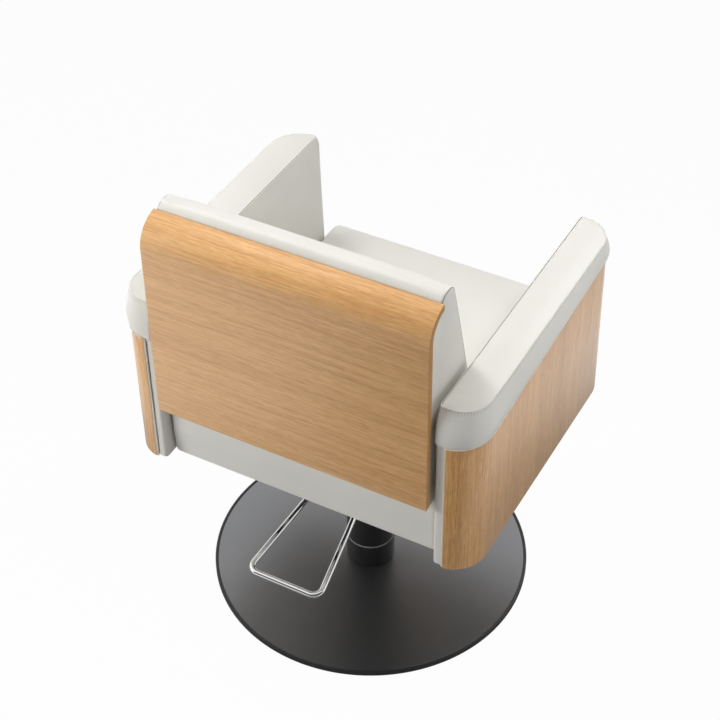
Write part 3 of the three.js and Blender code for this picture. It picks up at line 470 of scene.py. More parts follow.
def rounded(corners, corner_steps):
    """A closed outline with rounded corners. A corner is (u, v, radius, points along the next side)."""
    def reach(i):
        (pu, pv), (u, v), (nu, nv) = (corners[k % len(corners)][:2] for k in (i - 1, i, i + 1))
        back, ahead = Vector((pu - u, pv - v)).normalized(), Vector((nu - u, nv - v)).normalized()
        half = math.acos(max(-1.0, min(1.0, back.dot(ahead)))) / 2
        return Vector((u, v)), back, ahead, half

    loop = []
    for i, (u, v, radius, side_points) in enumerate(corners):
        here, back, ahead, half = reach(i)
        if radius:
            start, end = here + back * (radius / math.tan(half)), here + ahead * (radius / math.tan(half))
            centre = here + (back + ahead).normalized() * (radius / math.sin(half))
            first, last = start - centre, end - centre
            turn = math.atan2(first.x * last.y - first.y * last.x, first.dot(last))
            for k in range(corner_steps + 1):
                c, s = math.cos(turn * k / corner_steps), math.sin(turn * k / corner_steps)
                loop.append(centre + Vector((first.x * c - first.y * s, first.x * s + first.y * c)))
        else:
            loop.append(here)
        next_radius = corners[(i + 1) % len(corners)][2]
        there, back, _, half = reach(i + 1)
        stop = there + back * (next_radius / math.tan(half)) if next_radius else there
        begin = loop[-1].copy()
        loop += [begin.lerp(stop, (k + 1) / (side_points + 1)) for k in range(side_points)]
    return loop


def inset(loop, distance):
    """Moves each point of an outline inward, square to the outline."""
    area = sum(a.x * b.y - a.y * b.x for a, b in zip(loop, loop[1:] + loop[:1]))
    turn = 1 if area > 0 else -1
    moved = []
    for before, point, after in zip(loop[-1:] + loop[:-1], loop, loop[1:] + loop[:1]):
        along = (after - before).normalized()
        moved.append(point + Vector((-along.y, along.x)) * turn * distance)
    return moved


def ring_faces(count, rows):
    """The faces between closed rings of points."""
    faces = []
    for r in range(rows - 1):
        for i in range(count):
            a, b = r * count + i, r * count + (i + 1) % count
            faces.append((a, b, b + count, a + count))
    return faces


def around(count):
    """The cosine and sine of evenly spaced places round a circle."""
    return [(math.cos(math.tau * k / count), math.sin(math.tau * k / count)) for k in range(count)]


def turned(name, profile, segments, body, slot_name):
    """A turned piece about the column's axis from pairs of radius and height."""
    rings = [[(radius * c, radius * s, height) for c, s in around(segments)]
             for radius, height in profile if radius > 0]
    points = [p for ring in rings for p in ring]
    faces = ring_faces(segments, len(rings))
    last = (len(rings) - 1) * segments
    if profile[0][0] == 0:
        points += [(0, 0, profile[0][1]), (0, 0, profile[-1][1])]
        faces += [(len(points) - 2, (k + 1) % segments, k) for k in range(segments)]
        faces += [(len(points) - 1, last + k, last + (k + 1) % segments) for k in range(segments)]
    else:
        faces += [(last + k, last + (k + 1) % segments, (k + 1) % segments, k) for k in range(segments)]
    return made(name, points, faces, body, slot_name, [finishes[slot_name]])


def swept(path, radius, sides, closed=False):
    """Points and faces of a round bar along a path, with its rings square to the path."""
    count = len(path)
    rings, side = [], None
    for i, point in enumerate(path):
        before = path[(i - 1) % count] if closed or i > 0 else point
        after = path[(i + 1) % count] if closed or i + 1 < count else point
        along = (after - before).normalized()
        if side is None:
            side = along.orthogonal().normalized()
        side = (side - along * side.dot(along)).normalized()
        other = along.cross(side)
        rings.append([point + (side * c + other * s) * radius for c, s in around(sides)])
    points = [p for ring in rings for p in ring]
    faces = ring_faces(sides, count)
    if closed:
        faces += joined_ends(rings[-1], rings[0], (count - 1) * sides)
    else:
        faces += [tuple(range(sides))[::-1], tuple(range((count - 1) * sides, count * sides))]
    return points, faces


def joined_ends(last, first, offset):
    """Closes a looped bar, matching the last ring to the nearest turn of the first."""
    sides = len(last)

    def apart(turn):
        return sum((last[k] - first[(k + turn) % sides]).length for k in range(sides))

    shift = min(range(sides), key=apart)
    return [(offset + k, offset + (k + 1) % sides, (k + 1 + shift) % sides, (k + shift) % sides)
            for k in range(sides)]


def gathered(parts):
    """Several meshes of points and faces as one."""
    points, faces = [], []
    for more, their_faces in parts:
        faces += [tuple(i + len(points) for i in face) for face in their_faces]
        points += more
    return points, faces


def baked(piece, kind, **settings):
    """Adds a modifier and applies it to the mesh."""
    modifier = piece.modifiers.new(kind.lower(), kind)
    for name, value in settings.items():
        setattr(modifier, name, value)
    bpy.context.view_layer.update()
    piece.data, before = bpy.data.meshes.new_from_object(
        piece.evaluated_get(bpy.context.evaluated_depsgraph_get())), piece.data
    piece.modifiers.clear()
    bpy.data.meshes.remove(before)
    return piece


def arc_points(centre, radius, start, end, steps):
    return [Vector((centre[0] + radius * math.cos(start + (end - start) * k / steps),
                    centre[1] + radius * math.sin(start + (end - start) * k / steps))) for k in range(steps + 1)]


# Metal

def eased(corners, radius, steps=4):
    """A turning profile whose inner corners are rounded; each corner is a pair of radius and height."""
    out = [corners[0]]
    for before, here, after in zip(corners, corners[1:], corners[2:]):
        b, h, a = Vector(before), Vector(here), Vector(after)
        reach = min(radius, (b - h).length / 2.1, (a - h).length / 2.1)
        start, end = h + (b - h).normalized() * reach, h + (a - h).normalized() * reach
        for k in range(steps + 1):
            t = k / steps
            out.append(tuple(start * (1 - t) ** 2 + h * 2 * t * (1 - t) + end * t ** 2))
    return out + [corners[-1]]


def base_pieces():
    disc = turned("base_disc_turned", eased([
        (0, 0), (298.4, 0), (DISC_RADIUS, 1.6), (DISC_RADIUS, 10.6), (298.8, 11.6), (296.2, 11.6),
        (294.6, DISC_THICKNESS), (60, DISC_THICKNESS), (0, DISC_THICKNESS)], 1.2), 320, "base", "base_paint")
    disc.data.materials.append(finishes["column_paint"])
    for face in disc.data.polygons:
        rim = (face.center.x ** 2 + face.center.y ** 2) ** 0.5 > (DISC_RADIUS - 6) * MM
        face.material_index = 1 if rim else 0
    stands_for("base_disc")
    collar = turned("base_collar_turned", eased([
        (33.3, 10.3), (45.9, 10.3), (45.9, 62.3), (25.3, 62.3), (25.3, 42.3), (33.3, 42.3), (33.3, 10.3)], 0.9),
        128, "base", "base_paint")
    collar.data.materials[0] = finishes["column_paint"]
    stands_for("base_collar")
    ring = turned("glide_ring_turned", eased([
        (25.3, 62.6), (45.5, 62.6), (45.5, 65.6), (25.3, 65.6), (25.3, 62.6)], 0.6), 128, "base", "glide_ring")
    stands_for("collar_ring")
    sleeve = turned("column_sleeve_turned", eased([
        (41.7, 65.9), (45.2, 65.9), (45.2, 249.1), (41.7, 249.1), (41.7, 65.9)], 0.8), 128, "seat", "column_paint")
    stands_for("column_sleeve")


def corner_arc(before, corner, after, radius, steps):
    back, ahead = (before - corner).normalized(), (after - corner).normalized()
    half = back.angle(ahead) / 2
    centre = corner + (back + ahead).normalized() * (radius / math.sin(half))
    start, end = (corner + way * (radius / math.tan(half)) - centre for way in (back, ahead))
    axis, angle = start.cross(end).normalized(), start.angle(end)
    return [centre + Matrix.Rotation(angle * k / steps, 3, axis) @ start for k in range(steps + 1)]


def pedal_piece():
    corners = [Vector((-PEDAL_ROOT, PIVOT_Y, PIVOT_Z)), Vector((-PEDAL_END, PEDAL_END_Y, PEDAL_END_Z)),
               Vector((PEDAL_END, PEDAL_END_Y, PEDAL_END_Z)), Vector((PEDAL_ROOT, PIVOT_Y, PIVOT_Z))]
    path = [corners[0]]
    for before, corner, after in zip(corners, corners[1:], corners[2:]):
        path += corner_arc(before, corner, after, 16, 14)
    path.append(corners[-1])
    eyes = [tube_along_x(5.3, 10, side * 31.1, side * 43.6, 36) for side in (-1, 1)]
    points, faces = gathered([swept(path, PEDAL_TUBE, 28), *eyes])
    piece = made("pedal_bar_bent", points, faces, "pedal", "pedal_chrome", [finishes["pedal_chrome"]])
    stands_for("pedal_bar")


def pump_spring():
    """One open coil, standing at its full height; the real spring flattens onto the pump's boss as the plunger
    goes down.
    """
    low, high = (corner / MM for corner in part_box("plunger_spring"))
    centre, reach = (low + high) / 2, (high.x - low.x) / 2 - SPRING_WIRE
    foot, head = low.z + SPRING_WIRE, high.z - SPRING_WIRE
    turn_steps = 24
    steps = SPRING_TURNS * turn_steps
    path = []
    for k in range(steps + 1):
        turn = math.tau * k / turn_steps
        path.append(Vector((centre.x + reach * math.cos(turn), centre.y + reach * math.sin(turn),
                            foot + (head - foot) * k / steps)))
    piece = made("plunger_spring_coil", *swept(path, SPRING_WIRE, 12), "seat", "steel", [finishes["steel"]])
    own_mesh(piece)
    stands_for("plunger_spring")


def tube_along_x(inner, outer, start, end, sides):
    """A short tube on the pedal's pivot."""
    section = [(inner, start), (outer, start), (outer, end), (inner, end)]
    points = [Vector((x, PIVOT_Y + r * c, PIVOT_Z + r * s)) for r, x in section for c, s in around(sides)]
    faces = ring_faces(sides, 4)
    faces += [(3 * sides + k, 3 * sides + (k + 1) % sides, (k + 1) % sides, k) for k in range(sides)]
    return points, faces


# Bent boards

def wood_top(y):
    return WOOD_TOP_REAR + (WOOD_TOP_FRONT - WOOD_TOP_REAR) * (ARM_REAR - y) / (ARM_REAR - ARM_FRONT)


def bent_board(name, outer, inner, slot_name, materials, level, chamfered=False):
    """A board between two rows of points, from its low edge to its high edge, with eased edges.
    level(point, high) gives the 3-D place of a point of a row on the low or high edge."""
    rows = len(outer)
    section = [[level(p, high) for p in row] for row, high in ((outer, 0), (outer, 1), (inner, 1), (inner, 0))]
    points = [section[k][i] for i in range(rows) for k in range(4)]
    faces = ring_faces(4, rows)
    faces += [(3, 2, 1, 0), tuple((rows - 1) * 4 + k for k in range(4))]
    quads = len(faces) - 2

    def kind(face):
        cut = chamfered and face.index // 4 in (0, rows - 2)
        return 1 if face.index >= quads or face.index % 4 in (1, 3) or cut else 0

    piece = made(name, points, faces, "seat", slot_name, materials, kind)
    baked(piece, "BEVEL", width=0.9 * MM, segments=3, limit_method="ANGLE", angle_limit=0.8)
    piece.data.shade_smooth()
    piece.data.set_sharp_from_angle(angle=SMOOTH_BELOW)
    return piece


def back_panel():
    def profile(radius):
        straight = [Vector((ROLL_CENTRE + radius, PANEL_BOTTOM + (ROLL_START - PANEL_BOTTOM) * k / 12))
                    for k in range(12)]
        return straight + arc_points((ROLL_CENTRE, ROLL_START), radius, 0, ROLL_ANGLE, 36)

    piece = bent_board(
        "back_panel_veneered", profile(ROLL_RADIUS), profile(ROLL_RADIUS - BOARD_WALL), "wood_back",
        [finishes["wood_back"], back_ply], lambda p, high: (PANEL_HALF * (1 if high else -1), p.x, p.y))
    stands_for("back_panel")


def wood_outline(out):
    """The outline of an arm's board from its front end to its rear end, moved outward. Both of its corners
    stop at the lining, with a chamfer that bares the layers of the board."""
    low, high = ARM_FRONT + FRONT_CORNER, ARM_REAR - REAR_CORNER
    cut, deep = (CHAMFER_ALONG, CHAMFER_DEEP) if out >= 0 else (0.1, 0.1)

    def stop(radius):
        return math.acos((BOARD_END + cut - ARM_OUTER + radius) / (radius + out))

    front = arc_points((ARM_OUTER - FRONT_CORNER, low), FRONT_CORNER + out, -stop(FRONT_CORNER), 0, 28)
    rear = arc_points((ARM_OUTER - REAR_CORNER, high), REAR_CORNER + out, 0, stop(REAR_CORNER), 28)
    return [
        Vector((BOARD_END, front[0].y + deep)), *front,
        *[Vector((ARM_OUTER + out, low + (high - low) * k / 16)) for k in range(1, 16)],
        *rear, Vector((BOARD_END, rear[-1].y - deep))]


def leaned(y, z):
    """An arm grows longer towards its foot: its front edge leans forward."""
    return y - ARM_LEAN * (ARM_TOP - z) / (ARM_TOP - UNDERSIDE) * (ARM_REAR - y) / (ARM_REAR - ARM_FRONT)


def arm_point(side, place, z):
    return Vector((side * place.x, leaned(place.y, z), z))


def arm_board(side, word):
    piece = bent_board(
        f"arm_shell_{word}_veneered", wood_outline(0), wood_outline(-BOARD_WALL), "wood_arm",
        [finishes["wood_arm"], arm_ply],
        lambda p, high: arm_point(side, p, wood_top(p.y) if high else UNDERSIDE), chamfered=True)
    stands_for(f"arm_shell_{word}")


# Upholstery

def puffed(piece, free, cap, pressure=4.0):
    """Lets the stuffing press the cover outward: cloth with pressure, held where free is 0. cap is how far
    a point may move along each axis, in millimetres."""
    mesh = piece.data
    start = [v.co.copy() for v in mesh.vertices]
    held = piece.vertex_groups.new(name="held")
    for i, share in enumerate(free):
        held.add([i], 1 - share, "REPLACE")
    cloth = piece.modifiers.new("cover", "CLOTH")
    settings = cloth.settings
    settings.quality = 6
    settings.mass = 0.35
    settings.tension_stiffness = settings.compression_stiffness = 18
    settings.shear_stiffness = 8
    settings.bending_stiffness = 1.2
    settings.vertex_group_mass = "held"
    settings.pin_stiffness = 1.0
    settings.use_pressure = True
    settings.uniform_pressure_force = pressure
    settings.effector_weights.gravity = 0
    cloth.collision_settings.use_collision = False
    cloth.point_cache.frame_end = SIM_FRAMES
    for step in range(1, SIM_FRAMES + 1):
        bpy.context.scene.frame_set(step)
    shaped = piece.evaluated_get(bpy.context.evaluated_depsgraph_get())
    moved = [v.co.copy() for v in shaped.data.vertices]
    piece.modifiers.remove(cloth)
    piece.vertex_groups.clear()
    bpy.context.scene.frame_set(1)
    for v, before, after, share in zip(mesh.vertices, start, moved, free):
        v.co = before + Vector(tuple(
            limit * MM * math.tanh(s / (limit * MM)) * share for s, limit in zip(after - before, cap)))


def sewn_up(piece):
    baked(piece, "SUBSURF", levels=1, render_levels=1, use_limit_surface=False)
    piece.data.shade_smooth()


def cushion(profile, stations, spine, swell):
    """A cover sewn from one long wrap and two side panels. profile is the side outline, stations are pairs
    of place along X and inset, and each side panel closes on the spine."""
    count = len(profile)

    def nearest(p):
        a, b = spine
        share = max(0.0, min(1.0, (p - a).dot(b - a) / (b - a).length_squared))
        return a.lerp(b, share)

    edge = inset(profile, stations[0][1])
    rings = [[(stations[0][0], p.lerp(nearest(p), share)) for p in edge] for share in reversed(CAPS)]
    rings += [[(x, p) for p in inset(profile, depth)] for x, depth in stations]
    rings += [[(stations[-1][0], p.lerp(nearest(p), share)) for p in edge] for share in CAPS]
    points = []
    for x, p in (pair for ring in rings for pair in ring):
        dy, dz = swell(x, p)
        points.append(Vector((x, p.x + dy, p.y + dz)))
    faces = ring_faces(count, len(rings))
    faces += closing(points, range(count)) + closing(points, range(len(points) - count, len(points)))
    return points, faces, lambda k: [(len(CAPS) + k) * count + i for i in range(count)]


def closing(points, ring):
    """Closes a thin ring across its width, from its one end to the other."""
    ring = list(ring)
    middle = sum((points[i] for i in ring), Vector()) / len(ring)
    first = max(range(len(ring)), key=lambda k: (points[ring[k]] - middle).length)
    ring = ring[first:] + ring[:first]
    faces, low, high = [(ring[0], ring[1], ring[-1])], 1, len(ring) - 1
    while high - low > 2:
        faces.append((ring[low], ring[low + 1], ring[high - 1], ring[high]))
        low, high = low + 1, high - 1
    faces.append(tuple(ring[low:high + 1]))
    return faces


def between(value, low, high):
    return max(0.0, min(1.0, (value - low) / (high - low)))


def eased_share(value, low, high):
    share = between(value, low, high)
    return share * share * (3 - 2 * share)


# A side panel's rings as shares of the way to its spine, the station of its seam, and the thickness of cords
CAPS = (0.12, 0.3, 0.5, 0.7, 0.9)
SEAM_STATION = 3
PIPING, SEAM_CORD, INNER_CORD = 0.95, 0.75, 0.45
# Stitches: pairs of a share of the length and of the thickness
STITCH, STITCH_PITCH = 0.32, 4.8
STITCH_SHAPE = ((0, 0.4), (0.15, 1.0), (0.8, 0.9), (1, 0.3))
RIPPLE_DEPTH, RIPPLE_PITCH = 0.4, 9.6


def side_stations(half, radius, middle_count):
    """Places along X: the rounded side, with its seam on the rounding, and the wrap between the sides."""
    side = [(half, radius)]
    side += [(half - radius * (1 - math.sin(QUARTER - a)), radius * (1 - math.cos(QUARTER - a)))
             for a in (0.22, 0.45, 0.7, 0.95, 1.2)]
    side += [(half - radius - step, 0.0) for step in (0.0, 3.5, 8.0)]
    inner = half - radius - 8.0
    middle = [(inner * (1 - 2 * (k + 1) / (middle_count + 1)), 0.0) for k in range(middle_count)]
    return side + middle + [(-x, depth) for x, depth in reversed(side)]


def pulled_in(piece, ring, depth):
    """Draws a sewn ring into the stuffing."""
    normals = [piece.data.vertices[i].normal.copy() for i in ring]
    for i, normal in zip(ring, normals):
        piece.data.vertices[i].co -= normal * depth * MM


def seam_line(piece, ring, offset):
    """The points of a sewn ring in millimetres, moved out along the cover's normals."""
    return [(piece.data.vertices[i].co + piece.data.vertices[i].normal * offset * MM) / MM for i in ring]


def cord(name, path, radius, slot_name, finish, closed=True, sides=8):
    points, faces = swept(path, radius, sides, closed)
    return made(name, points, faces, "seat", slot_name, [finish])


# The grey stitches stand partly for real stitching and partly for the shadows between gathers: painted shade.
def stitch_row(name, tops, feet):
    """A row of short stitches that cross a seam, each a small capsule from one line to the other."""
    ends = tops[1:] + tops[:1]
    lengths = [(b - a).length for a, b in zip(tops, ends)]
    whole, parts, i, done = sum(lengths), [], 0, 0.0
    stitches = int(whole // STITCH_PITCH)
    for k in range(stitches):
        want = whole * k / stitches
        while done + lengths[i] < want:
            done += lengths[i]
            i += 1
        share, after = (want - done) / lengths[i], (i + 1) % len(tops)
        top, foot = tops[i].lerp(tops[after], share), feet[i].lerp(feet[after], share)
        along = (foot - top).normalized()
        side = along.orthogonal().normalized()
        other = along.cross(side)
        points = [top.lerp(foot, reach) + (side * c + other * s) * STITCH * width
                  for reach, width in STITCH_SHAPE for c, s in around(6)]
        parts.append((points, ring_faces(6, 4) + [tuple(range(6))[::-1], tuple(range(18, 24))]))
    points, faces = gathered(parts)
    return made(name, points, faces, "seat", "arm_leather", [stitch_and_gather_shade])


def sewn_cushion(word, profile, stations, spine, swell, loose, cap, depth):
    """A cushion's cover, puffed up, with its two side seams drawn in by a depth and marked by a dark cord, a
    painted shadow line.
    """
    slot_name = f"{word}_leather"
    points, faces, ring = cushion(profile, stations, spine, swell)
    piece = made(f"{word}_cushion_cover", points, faces, "seat", slot_name, [finishes[slot_name]])
    seams = [ring(SEAM_STATION), ring(len(stations) - 1 - SEAM_STATION)]
    sewn = {i for seam in seams for i in seam}
    puffed(piece, [0.0 if i in sewn else loose(p) for i, p in enumerate(points)], cap)
    for seam in seams:
        pulled_in(piece, seam, depth)
    stands_for(f"{word}_cushion")
    # Dark cords on the side seams: painted shadow lines.
    for seam, side in zip(seams, ("left", "right")):
        cord(f"{word}_side_seam_shadow_line_{side}", seam_line(piece, seam, -0.1), SEAM_CORD, slot_name, welt_shadow)
    sewn_up(piece)


def seat_cushion():
    profile = rounded([
        (SEAT_FRONT + 13, UNDERSIDE, 13, 48), (243, UNDERSIDE, 9, 3), (SEAT_REAR, SEAT_BELLY, 45, 3),
        (SEAT_REAR, SEAT_TOP, 22, 62), (SEAT_FRONT, SEAT_TOP, 26, 3), (SEAT_FRONT, SEAT_BELLY, 55, 3)], 7)

    def swell(x, p):
        middle = 1 - (x / SEAT_HALF) ** 2
        along = math.sin(math.pi * between(p.x, SEAT_FRONT, 84))
        return 0.0, 5.5 * middle * along * between(p.y, SEAT_BELLY, SEAT_TOP)

    spine = Vector((-293, 428)), Vector((188, 428))
    sewn_cushion("seat", profile, side_stations(SEAT_HALF, 9, 47), spine, swell,
                 lambda p: eased_share(p.z, 378, 420), (1.2, 4.0, 5.0), 0.9)


def back_cushion():
    rear, inner_roll = (face - BOARD_WALL - COVER_PLAY for face in (PANEL_OUTER, ROLL_RADIUS))
    lip = ROLL_CENTRE + ROLL_RADIUS * math.cos(ROLL_ANGLE)
    under_roll = arc_points((ROLL_CENTRE, ROLL_START), inner_roll, math.radians(86), 0, 10)
    roll_end = arc_points((lip - 19.5, 876), 23, QUARTER, math.radians(31), 4)
    profile = rounded([
        (rear, BACK_BOTTOM, 10, 16), (84, BACK_BOTTOM, 20, 44), (192, 899, 20, 0),
        *[(p.x, p.y, 0, 0) for p in (*roll_end, Vector((lip - 1.6, 880)), *under_roll[:-1])],
        (rear, ROLL_START, 0, 30)], 7)

    def swell(x, p):
        front = 84 + (194 - 84) * between(p.y, BACK_BOTTOM, BACK_TOP)
        middle = 1 - (x / BACK_HALF) ** 2
        up = math.sin(math.pi * between(p.y, BACK_BOTTOM, BACK_TOP))
        crown = (1 - abs(x / BACK_HALF) ** 5) * eased_share(p.y, 889, 897)
        return -(4.0 * middle + 4.0) * up * (1 - between(p.x, front, rear)) ** 2, 5.0 * crown

    def loose(p):
        if p.y > 235:
            return 0.0
        return eased_share(p.z, 490, 520) if p.z < 884 or p.y < 222 else 0.5 * eased_share(p.z, 890, 897)

    spine = Vector((172, 545)), Vector((213, 850))
    sewn_cushion("back", profile, side_stations(BACK_HALF, 6, 45), spine, swell, loose, (2.5, 3.5, 2.2), 0.8)


# Arms: shares of the band's height with its bulge in millimetres, and with its share of drawing in

PAD_RISE = (0, 0.03, 0.08, 0.16, 0.26, 0.38, 0.5, 0.62, 0.73, 0.82, 0.9, 0.96, 1.0)
PAD_OUT = ((0, 2.4), (0.08, 4.2), (0.22, 5.4), (0.42, 4.6), (0.68, 1.6), (0.88, -1.8), (1, -3.6))
PAD_DRAW = ((0, 0), (0.2, 0), (0.45, 0.08), (0.7, 0.35), (0.88, 0.7), (1, 1))
PAD_INSETS = (1.6, 3.6, 7.0, 11.0, 16.0, 21.0, 26.0)
PAD_CROWN = 4.0
INNER_DRAW, REAR_DRAW, FRONT_DRAW = 2.0, 11.0, 2.0
LONG_POINTS = 132
INNER_SIDE = (162, 302)


def read_off(table, at):
    for (a, low), (b, high) in zip(table, table[1:]):
        if at <= b:
            return low + (high - low) * (at - a) / (b - a)
    return table[-1][1]


def arm_plan(outer, inner, rear, front, rear_radius, front_radius, inner_radius):
    widest = outer - inner - inner_radius - 1.0
    return rounded([
        (outer, front, min(front_radius, widest), LONG_POINTS), (outer, rear, min(rear_radius, widest), 4),
        (inner, rear, inner_radius, LONG_POINTS), (inner, front, inner_radius, 4)], 9)


def lining_ring(depth, height):
    edge = LINING_EDGE - depth
    plan = arm_plan(LINING_OUTER - LINING_GAP - depth, ARM_INNER + depth, LINING_REAR - depth,
                    LINING_FRONT + depth, 2, 2, edge)
    return [(p, height(p.y)) for p in plan]


def pad_ring(out, draw, depth, height):
    plan = arm_plan(
        ARM_OUTER + out - depth, ARM_INNER + INNER_DRAW * draw + depth,
        ARM_REAR - REAR_DRAW * draw - depth + 0.3 * out, ARM_FRONT + FRONT_DRAW * draw + depth - 0.3 * out,
        max(REAR_CORNER - REAR_DRAW * draw - depth, 7), max(FRONT_CORNER - FRONT_DRAW * draw - depth, 7), 6)
    return [(p, height(p.y)) for p in plan]


def arm_cover(side, word):
    """One sewn cover: a lining down the inner face, the pad's band above the wood, and the top panel."""
    rings = [lining_ring(2.5, lambda y: UNDERSIDE), lining_ring(0.8, lambda y: UNDERSIDE + 0.7),
             lining_ring(0, lambda y: UNDERSIDE + 2.5)]
    rings += [lining_ring(0, lambda y, k=k: UNDERSIDE + 2.5 + (wood_top(y) - UNDERSIDE - 4) * k / 20)
              for k in range(1, 21)]
    rings += [pad_ring(
        read_off(PAD_OUT, t), read_off(PAD_DRAW, t), 0,
        lambda y, t=t: wood_top(y) + COVER_PLAY + (ARM_TOP - wood_top(y) - COVER_PLAY) * t) for t in PAD_RISE]
    seam_row = len(rings) - 1
    rings += [pad_ring(
        PAD_OUT[-1][1], 1, depth,
        lambda y, s=depth / PAD_INSETS[-1]: ARM_TOP + PAD_CROWN * (1 - (1 - s) ** 2)) for depth in PAD_INSETS]
    points = [arm_point(side, p, z) for ring in rings for p, z in ring]
    count = len(rings[0])
    faces = ring_faces(count, len(rings)) + closing(points, range(len(points) - count, len(points)))
    faces += closing(points, range(count))
    piece = made(f"arm_cover_{word}", points, faces, "seat", "arm_leather", [finishes["arm_leather"]])
    seam = [seam_row * count + i for i in range(count)]
    sewn = set(seam)

    def loose(i, p):
        if i in sewn:
            return 0.0
        above = p.z - wood_top(p.y)
        if above > 0:
            return eased_share(above, 1.5, 12)
        return eased_share(p.z, 500, 540) * 0.9 if abs(p.x) < ARM_INNER + 2 else 0.0

    puffed(piece, [loose(i, p) for i, p in enumerate(points)], (2.0, 2.0, 2.2))
    pulled_in(piece, seam, 0.8)
    ripples(piece, seam_row, count, side)
    stands_for(f"arm_upholstery_{word}")
    line = seam_line(piece, seam, 0.25)
    cord(f"arm_top_piping_{word}", line, PIPING, "arm_leather", piping_finish)
    # A dark cord along the pad's inner top edge: a painted shadow line beside the piping.
    beside = [seam[i] + count for i in range(*INNER_SIDE)]
    cord(f"arm_inner_seam_shadow_line_{word}", seam_line(piece, beside, 0.1), INNER_CORD, "arm_leather", welt_shadow,
         closed=False)
    feet = seam_line(piece, [i - 2 * count for i in seam], 0.05)
    # The grey stitches also paint the shadows between the gathers: painted shade.
    stitch_row(f"arm_top_stitches_and_gather_shade_{word}", line, feet)
    sewn_up(piece)
    hem = [arm_point(side, p, wood_top(p.y) + 0.9) for p in wood_outline(2.6)[1:-1]]
    cord(f"arm_wood_piping_{word}", hem, PIPING, "arm_leather", piping_finish, closed=False)
    beside_wood, foot = LINING_OUTER - LINING_GAP + WELT, UNDERSIDE + 1.2
    for end, y in (("rear", LINING_REAR + WELT_OUT), ("front", LINING_FRONT - WELT_OUT)):
        welt = [arm_point(side, Vector((beside_wood, y)), foot + (wood_top(y) - foot) * k / 16) for k in range(17)]
        cord(f"arm_{end}_welt_{word}", welt, WELT, "arm_leather", piping_finish, closed=False, sides=14)


def ripples(piece, seam_row, count, side):
    """Small gathers where the band is sewn to the top panel, fading down the band."""
    vertices = piece.data.vertices
    for row, share in ((seam_row - 1, 1.0), (seam_row - 2, 0.8), (seam_row - 3, 0.5), (seam_row + 1, 0.4)):
        for i in range(count):
            vertex = vertices[row * count + i]
            at = vertex.co / MM
            wave = math.sin((at.y + 0.6 * abs(at.x)) * math.tau / RIPPLE_PITCH)
            wave *= 0.6 + 0.5 * noise.noise(Vector((at.x, at.y, side)) * 0.05)
            vertex.co += vertex.normal * wave * RIPPLE_DEPTH * share * MM


seat_cushion()
back_cushion()
base_pieces()
pedal_piece()
pump_spring()
back_panel()
for side, word in ((1, "left"), (-1, "right")):
    arm_cover(side, word)
    arm_board(side, word)

edges = softened_edges()
for name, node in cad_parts.items():
    if name not in replaced:
        weld = node.modifiers.new("weld", "WELD")
        weld.merge_threshold = WELD_WITHIN
        bevel = node.modifiers.new("eased_edges", "BEVEL")
        bevel.width, bevel.segments, bevel.limit_method, bevel.angle_limit = 0.4 * MM, 2, "ANGLE", 0.6
        node.modifiers.new("smooth", "NODES").node_group = edges


# Stage, lamps and camera

SEEN_SHARE, SKY_STRENGTH = 0.97, 0.25
WHITE, BLACK, DIM = (1.0, 1.0, 1.0), (0.0, 0.0, 0.0), (0.08, 0.08, 0.08)
FLOOR_REACH, FLOOR_DROP = 14.0, 0.6 * MM
CAMERA_YAW, CAMERA_PITCH, CAMERA_ROLL = 0.5078, 0.7195, -0.0132
CAMERA_PLACE = (-1.0777, 1.9699, 2.4648)
CAMERA_SENSOR, CAMERA_LENS = 36, 85.433


def studio_floor():
    """A pale floor that keeps a shadow but shows as white paper. Reflections see it dim under the chair, as a
    painted shadow, and on the camera's side."""
    ground = Finish("studio_floor", (0.72, 0.72, 0.72), 0.9, Specular_IOR_Level=0.0)
    here = ground.place()

    def away(x, y):
        dx, dy = ground.along(here, 0) - x, ground.along(here, 1) - y
        return (dx * dx + dy * dy) ** 0.5

    # Dim in reflections near the chair: a painted shadow. Also dim in a pool on the camera's side.
    shade = ground.spread(away(-0.35, 0.95), 0.35, 0.85, 0.1, 1.0).least(
        ground.spread(away(0.0, 0.0), 0.5, 1.0, 0.2, 1.0))
    paper = ground.mixed(ground.ray_is("Glossy") * (1 - shade), WHITE, BLACK)
    glow = ground.add("ShaderNodeEmission", inputs={"Color": paper, "Strength": 1.0})
    seen = ground.ray_is("Camera", "Glossy", "Transmission") * SEEN_SHARE
    matt = Field(ground, ground.shader.outputs[0])
    mixed = ground.add("ShaderNodeMixShader", inputs={0: seen, 1: matt, 2: glow})
    ground.tree.links.new(mixed.socket, ground.tree.nodes["Material Output"].inputs["Surface"])
    mesh = bpy.data.meshes.new("floor")
    corners = [(x * FLOOR_REACH, y * FLOOR_REACH, 0) for x, y in ((-1, -1), (1, -1), (1, 1), (-1, 1))]
    mesh.from_pydata(corners, [], [(0, 1, 2, 3)])
    mesh.materials.append(ground.material)
    floor = bpy.data.objects.new("floor", mesh)
    floor.location.z = -FLOOR_DROP
    bpy.context.scene.collection.objects.link(floor)


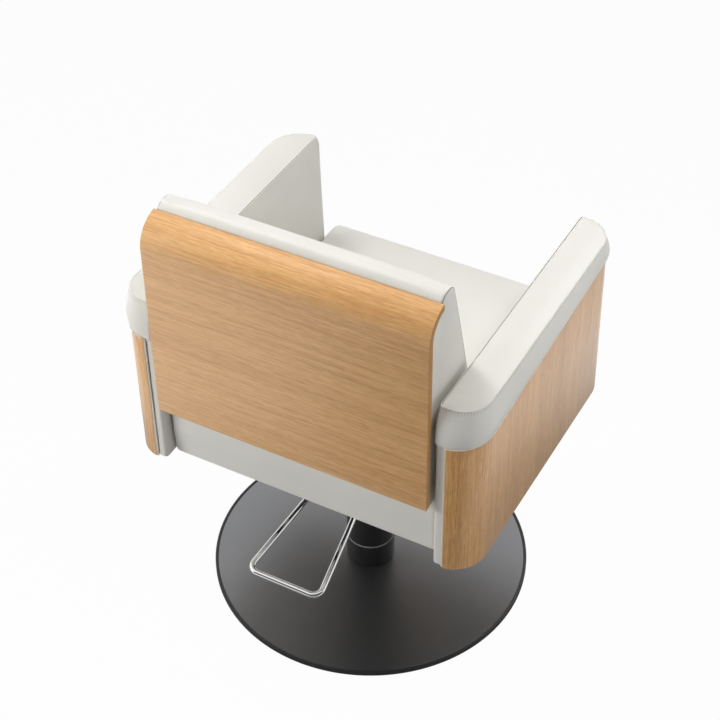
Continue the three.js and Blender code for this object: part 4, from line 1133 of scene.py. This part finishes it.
def studio_sky():
    """Soft light from all round; white to the camera, and in reflections dim on the camera's side."""
    world = bpy.data.worlds.new("studio")
    bpy.context.scene.world = world
    world.use_nodes = True
    sky = Graph(world.node_tree)
    way = sky.add("ShaderNodeTexCoord", output="Generated")
    toward_camera = sky.along(way, 1) * math.cos(CAMERA_YAW) - sky.along(way, 0) * math.sin(CAMERA_YAW)
    dim = sky.spread(toward_camera, 0.1, 0.5) * sky.ray_is("Glossy")
    seen = sky.add("ShaderNodeBackground", inputs={
        "Color": sky.mixed(dim, WHITE, DIM), "Strength": 1.0})
    soft = sky.add("ShaderNodeBackground", inputs={"Color": (1, 1, 1, 1), "Strength": SKY_STRENGTH})
    mixed = sky.add("ShaderNodeMixShader", inputs={
        0: sky.ray_is("Camera", "Glossy", "Transmission"), 1: soft, 2: seen})
    sky.tree.links.new(mixed.socket, sky.tree.nodes["World Output"].inputs["Surface"])


def lamps():
    for name, place, aim, size, spread, power, mirrored in (
        ("overhead_softbox_left", (1.1, 0.0, 3.3), (-0.1, 0.02, 0.7), 0.9, 52, 3.5, False),
        ("overhead_softbox_right", (-1.3, 0.0, 3.3), (-0.1, 0.02, 0.7), 0.9, 52, 2.4, False),
        ("front_softbox", (-0.5, -1.5, 1.9), (-0.1, -0.1, 0.6), 1.0, 75, 1.5, True),
        ("rear_softbox", (2.1, 1.75, 1.3), (0, 0.2, 0.6), 1.1, 180, 38, False),
        ("side_softbox", (-2.3, 0.2, 0.6), (-0.33, 0, 0.55), 0.8, 50, 0.75, False),
    ):
        lamp = bpy.data.lights.new(name, "AREA")
        lamp.size, lamp.spread, lamp.energy = size, math.radians(spread), power
        stand = bpy.data.objects.new(name, lamp)
        stand.visible_glossy = mirrored
        stand.location = place
        stand.rotation_mode = "QUATERNION"
        stand.rotation_quaternion = (Vector(place) - Vector(aim)).to_track_quat("Z", "Y")
        bpy.context.scene.collection.objects.link(stand)


def camera():
    ahead = Vector((math.sin(CAMERA_YAW) * math.cos(CAMERA_PITCH), -math.cos(CAMERA_YAW) * math.cos(CAMERA_PITCH),
                    -math.sin(CAMERA_PITCH)))
    right = ahead.cross(Vector((0, 0, 1))).normalized()
    up = right.cross(ahead)
    across = right * math.cos(CAMERA_ROLL) + up * math.sin(CAMERA_ROLL)
    upward = up * math.cos(CAMERA_ROLL) - right * math.sin(CAMERA_ROLL)
    lens = bpy.data.cameras.new("camera")
    lens.sensor_width, lens.lens = CAMERA_SENSOR, CAMERA_LENS
    lens.clip_end = 100
    stand = bpy.data.objects.new("camera", lens)
    stand.matrix_world = Matrix(((*across, 0), (*upward, 0), (*-ahead, 0), (*CAMERA_PLACE, 1))).transposed()
    bpy.context.scene.collection.objects.link(stand)
    bpy.context.scene.camera = stand


bpy.context.scene.view_settings.view_transform = "Standard"
studio_floor()
studio_sky()
lamps()
camera()
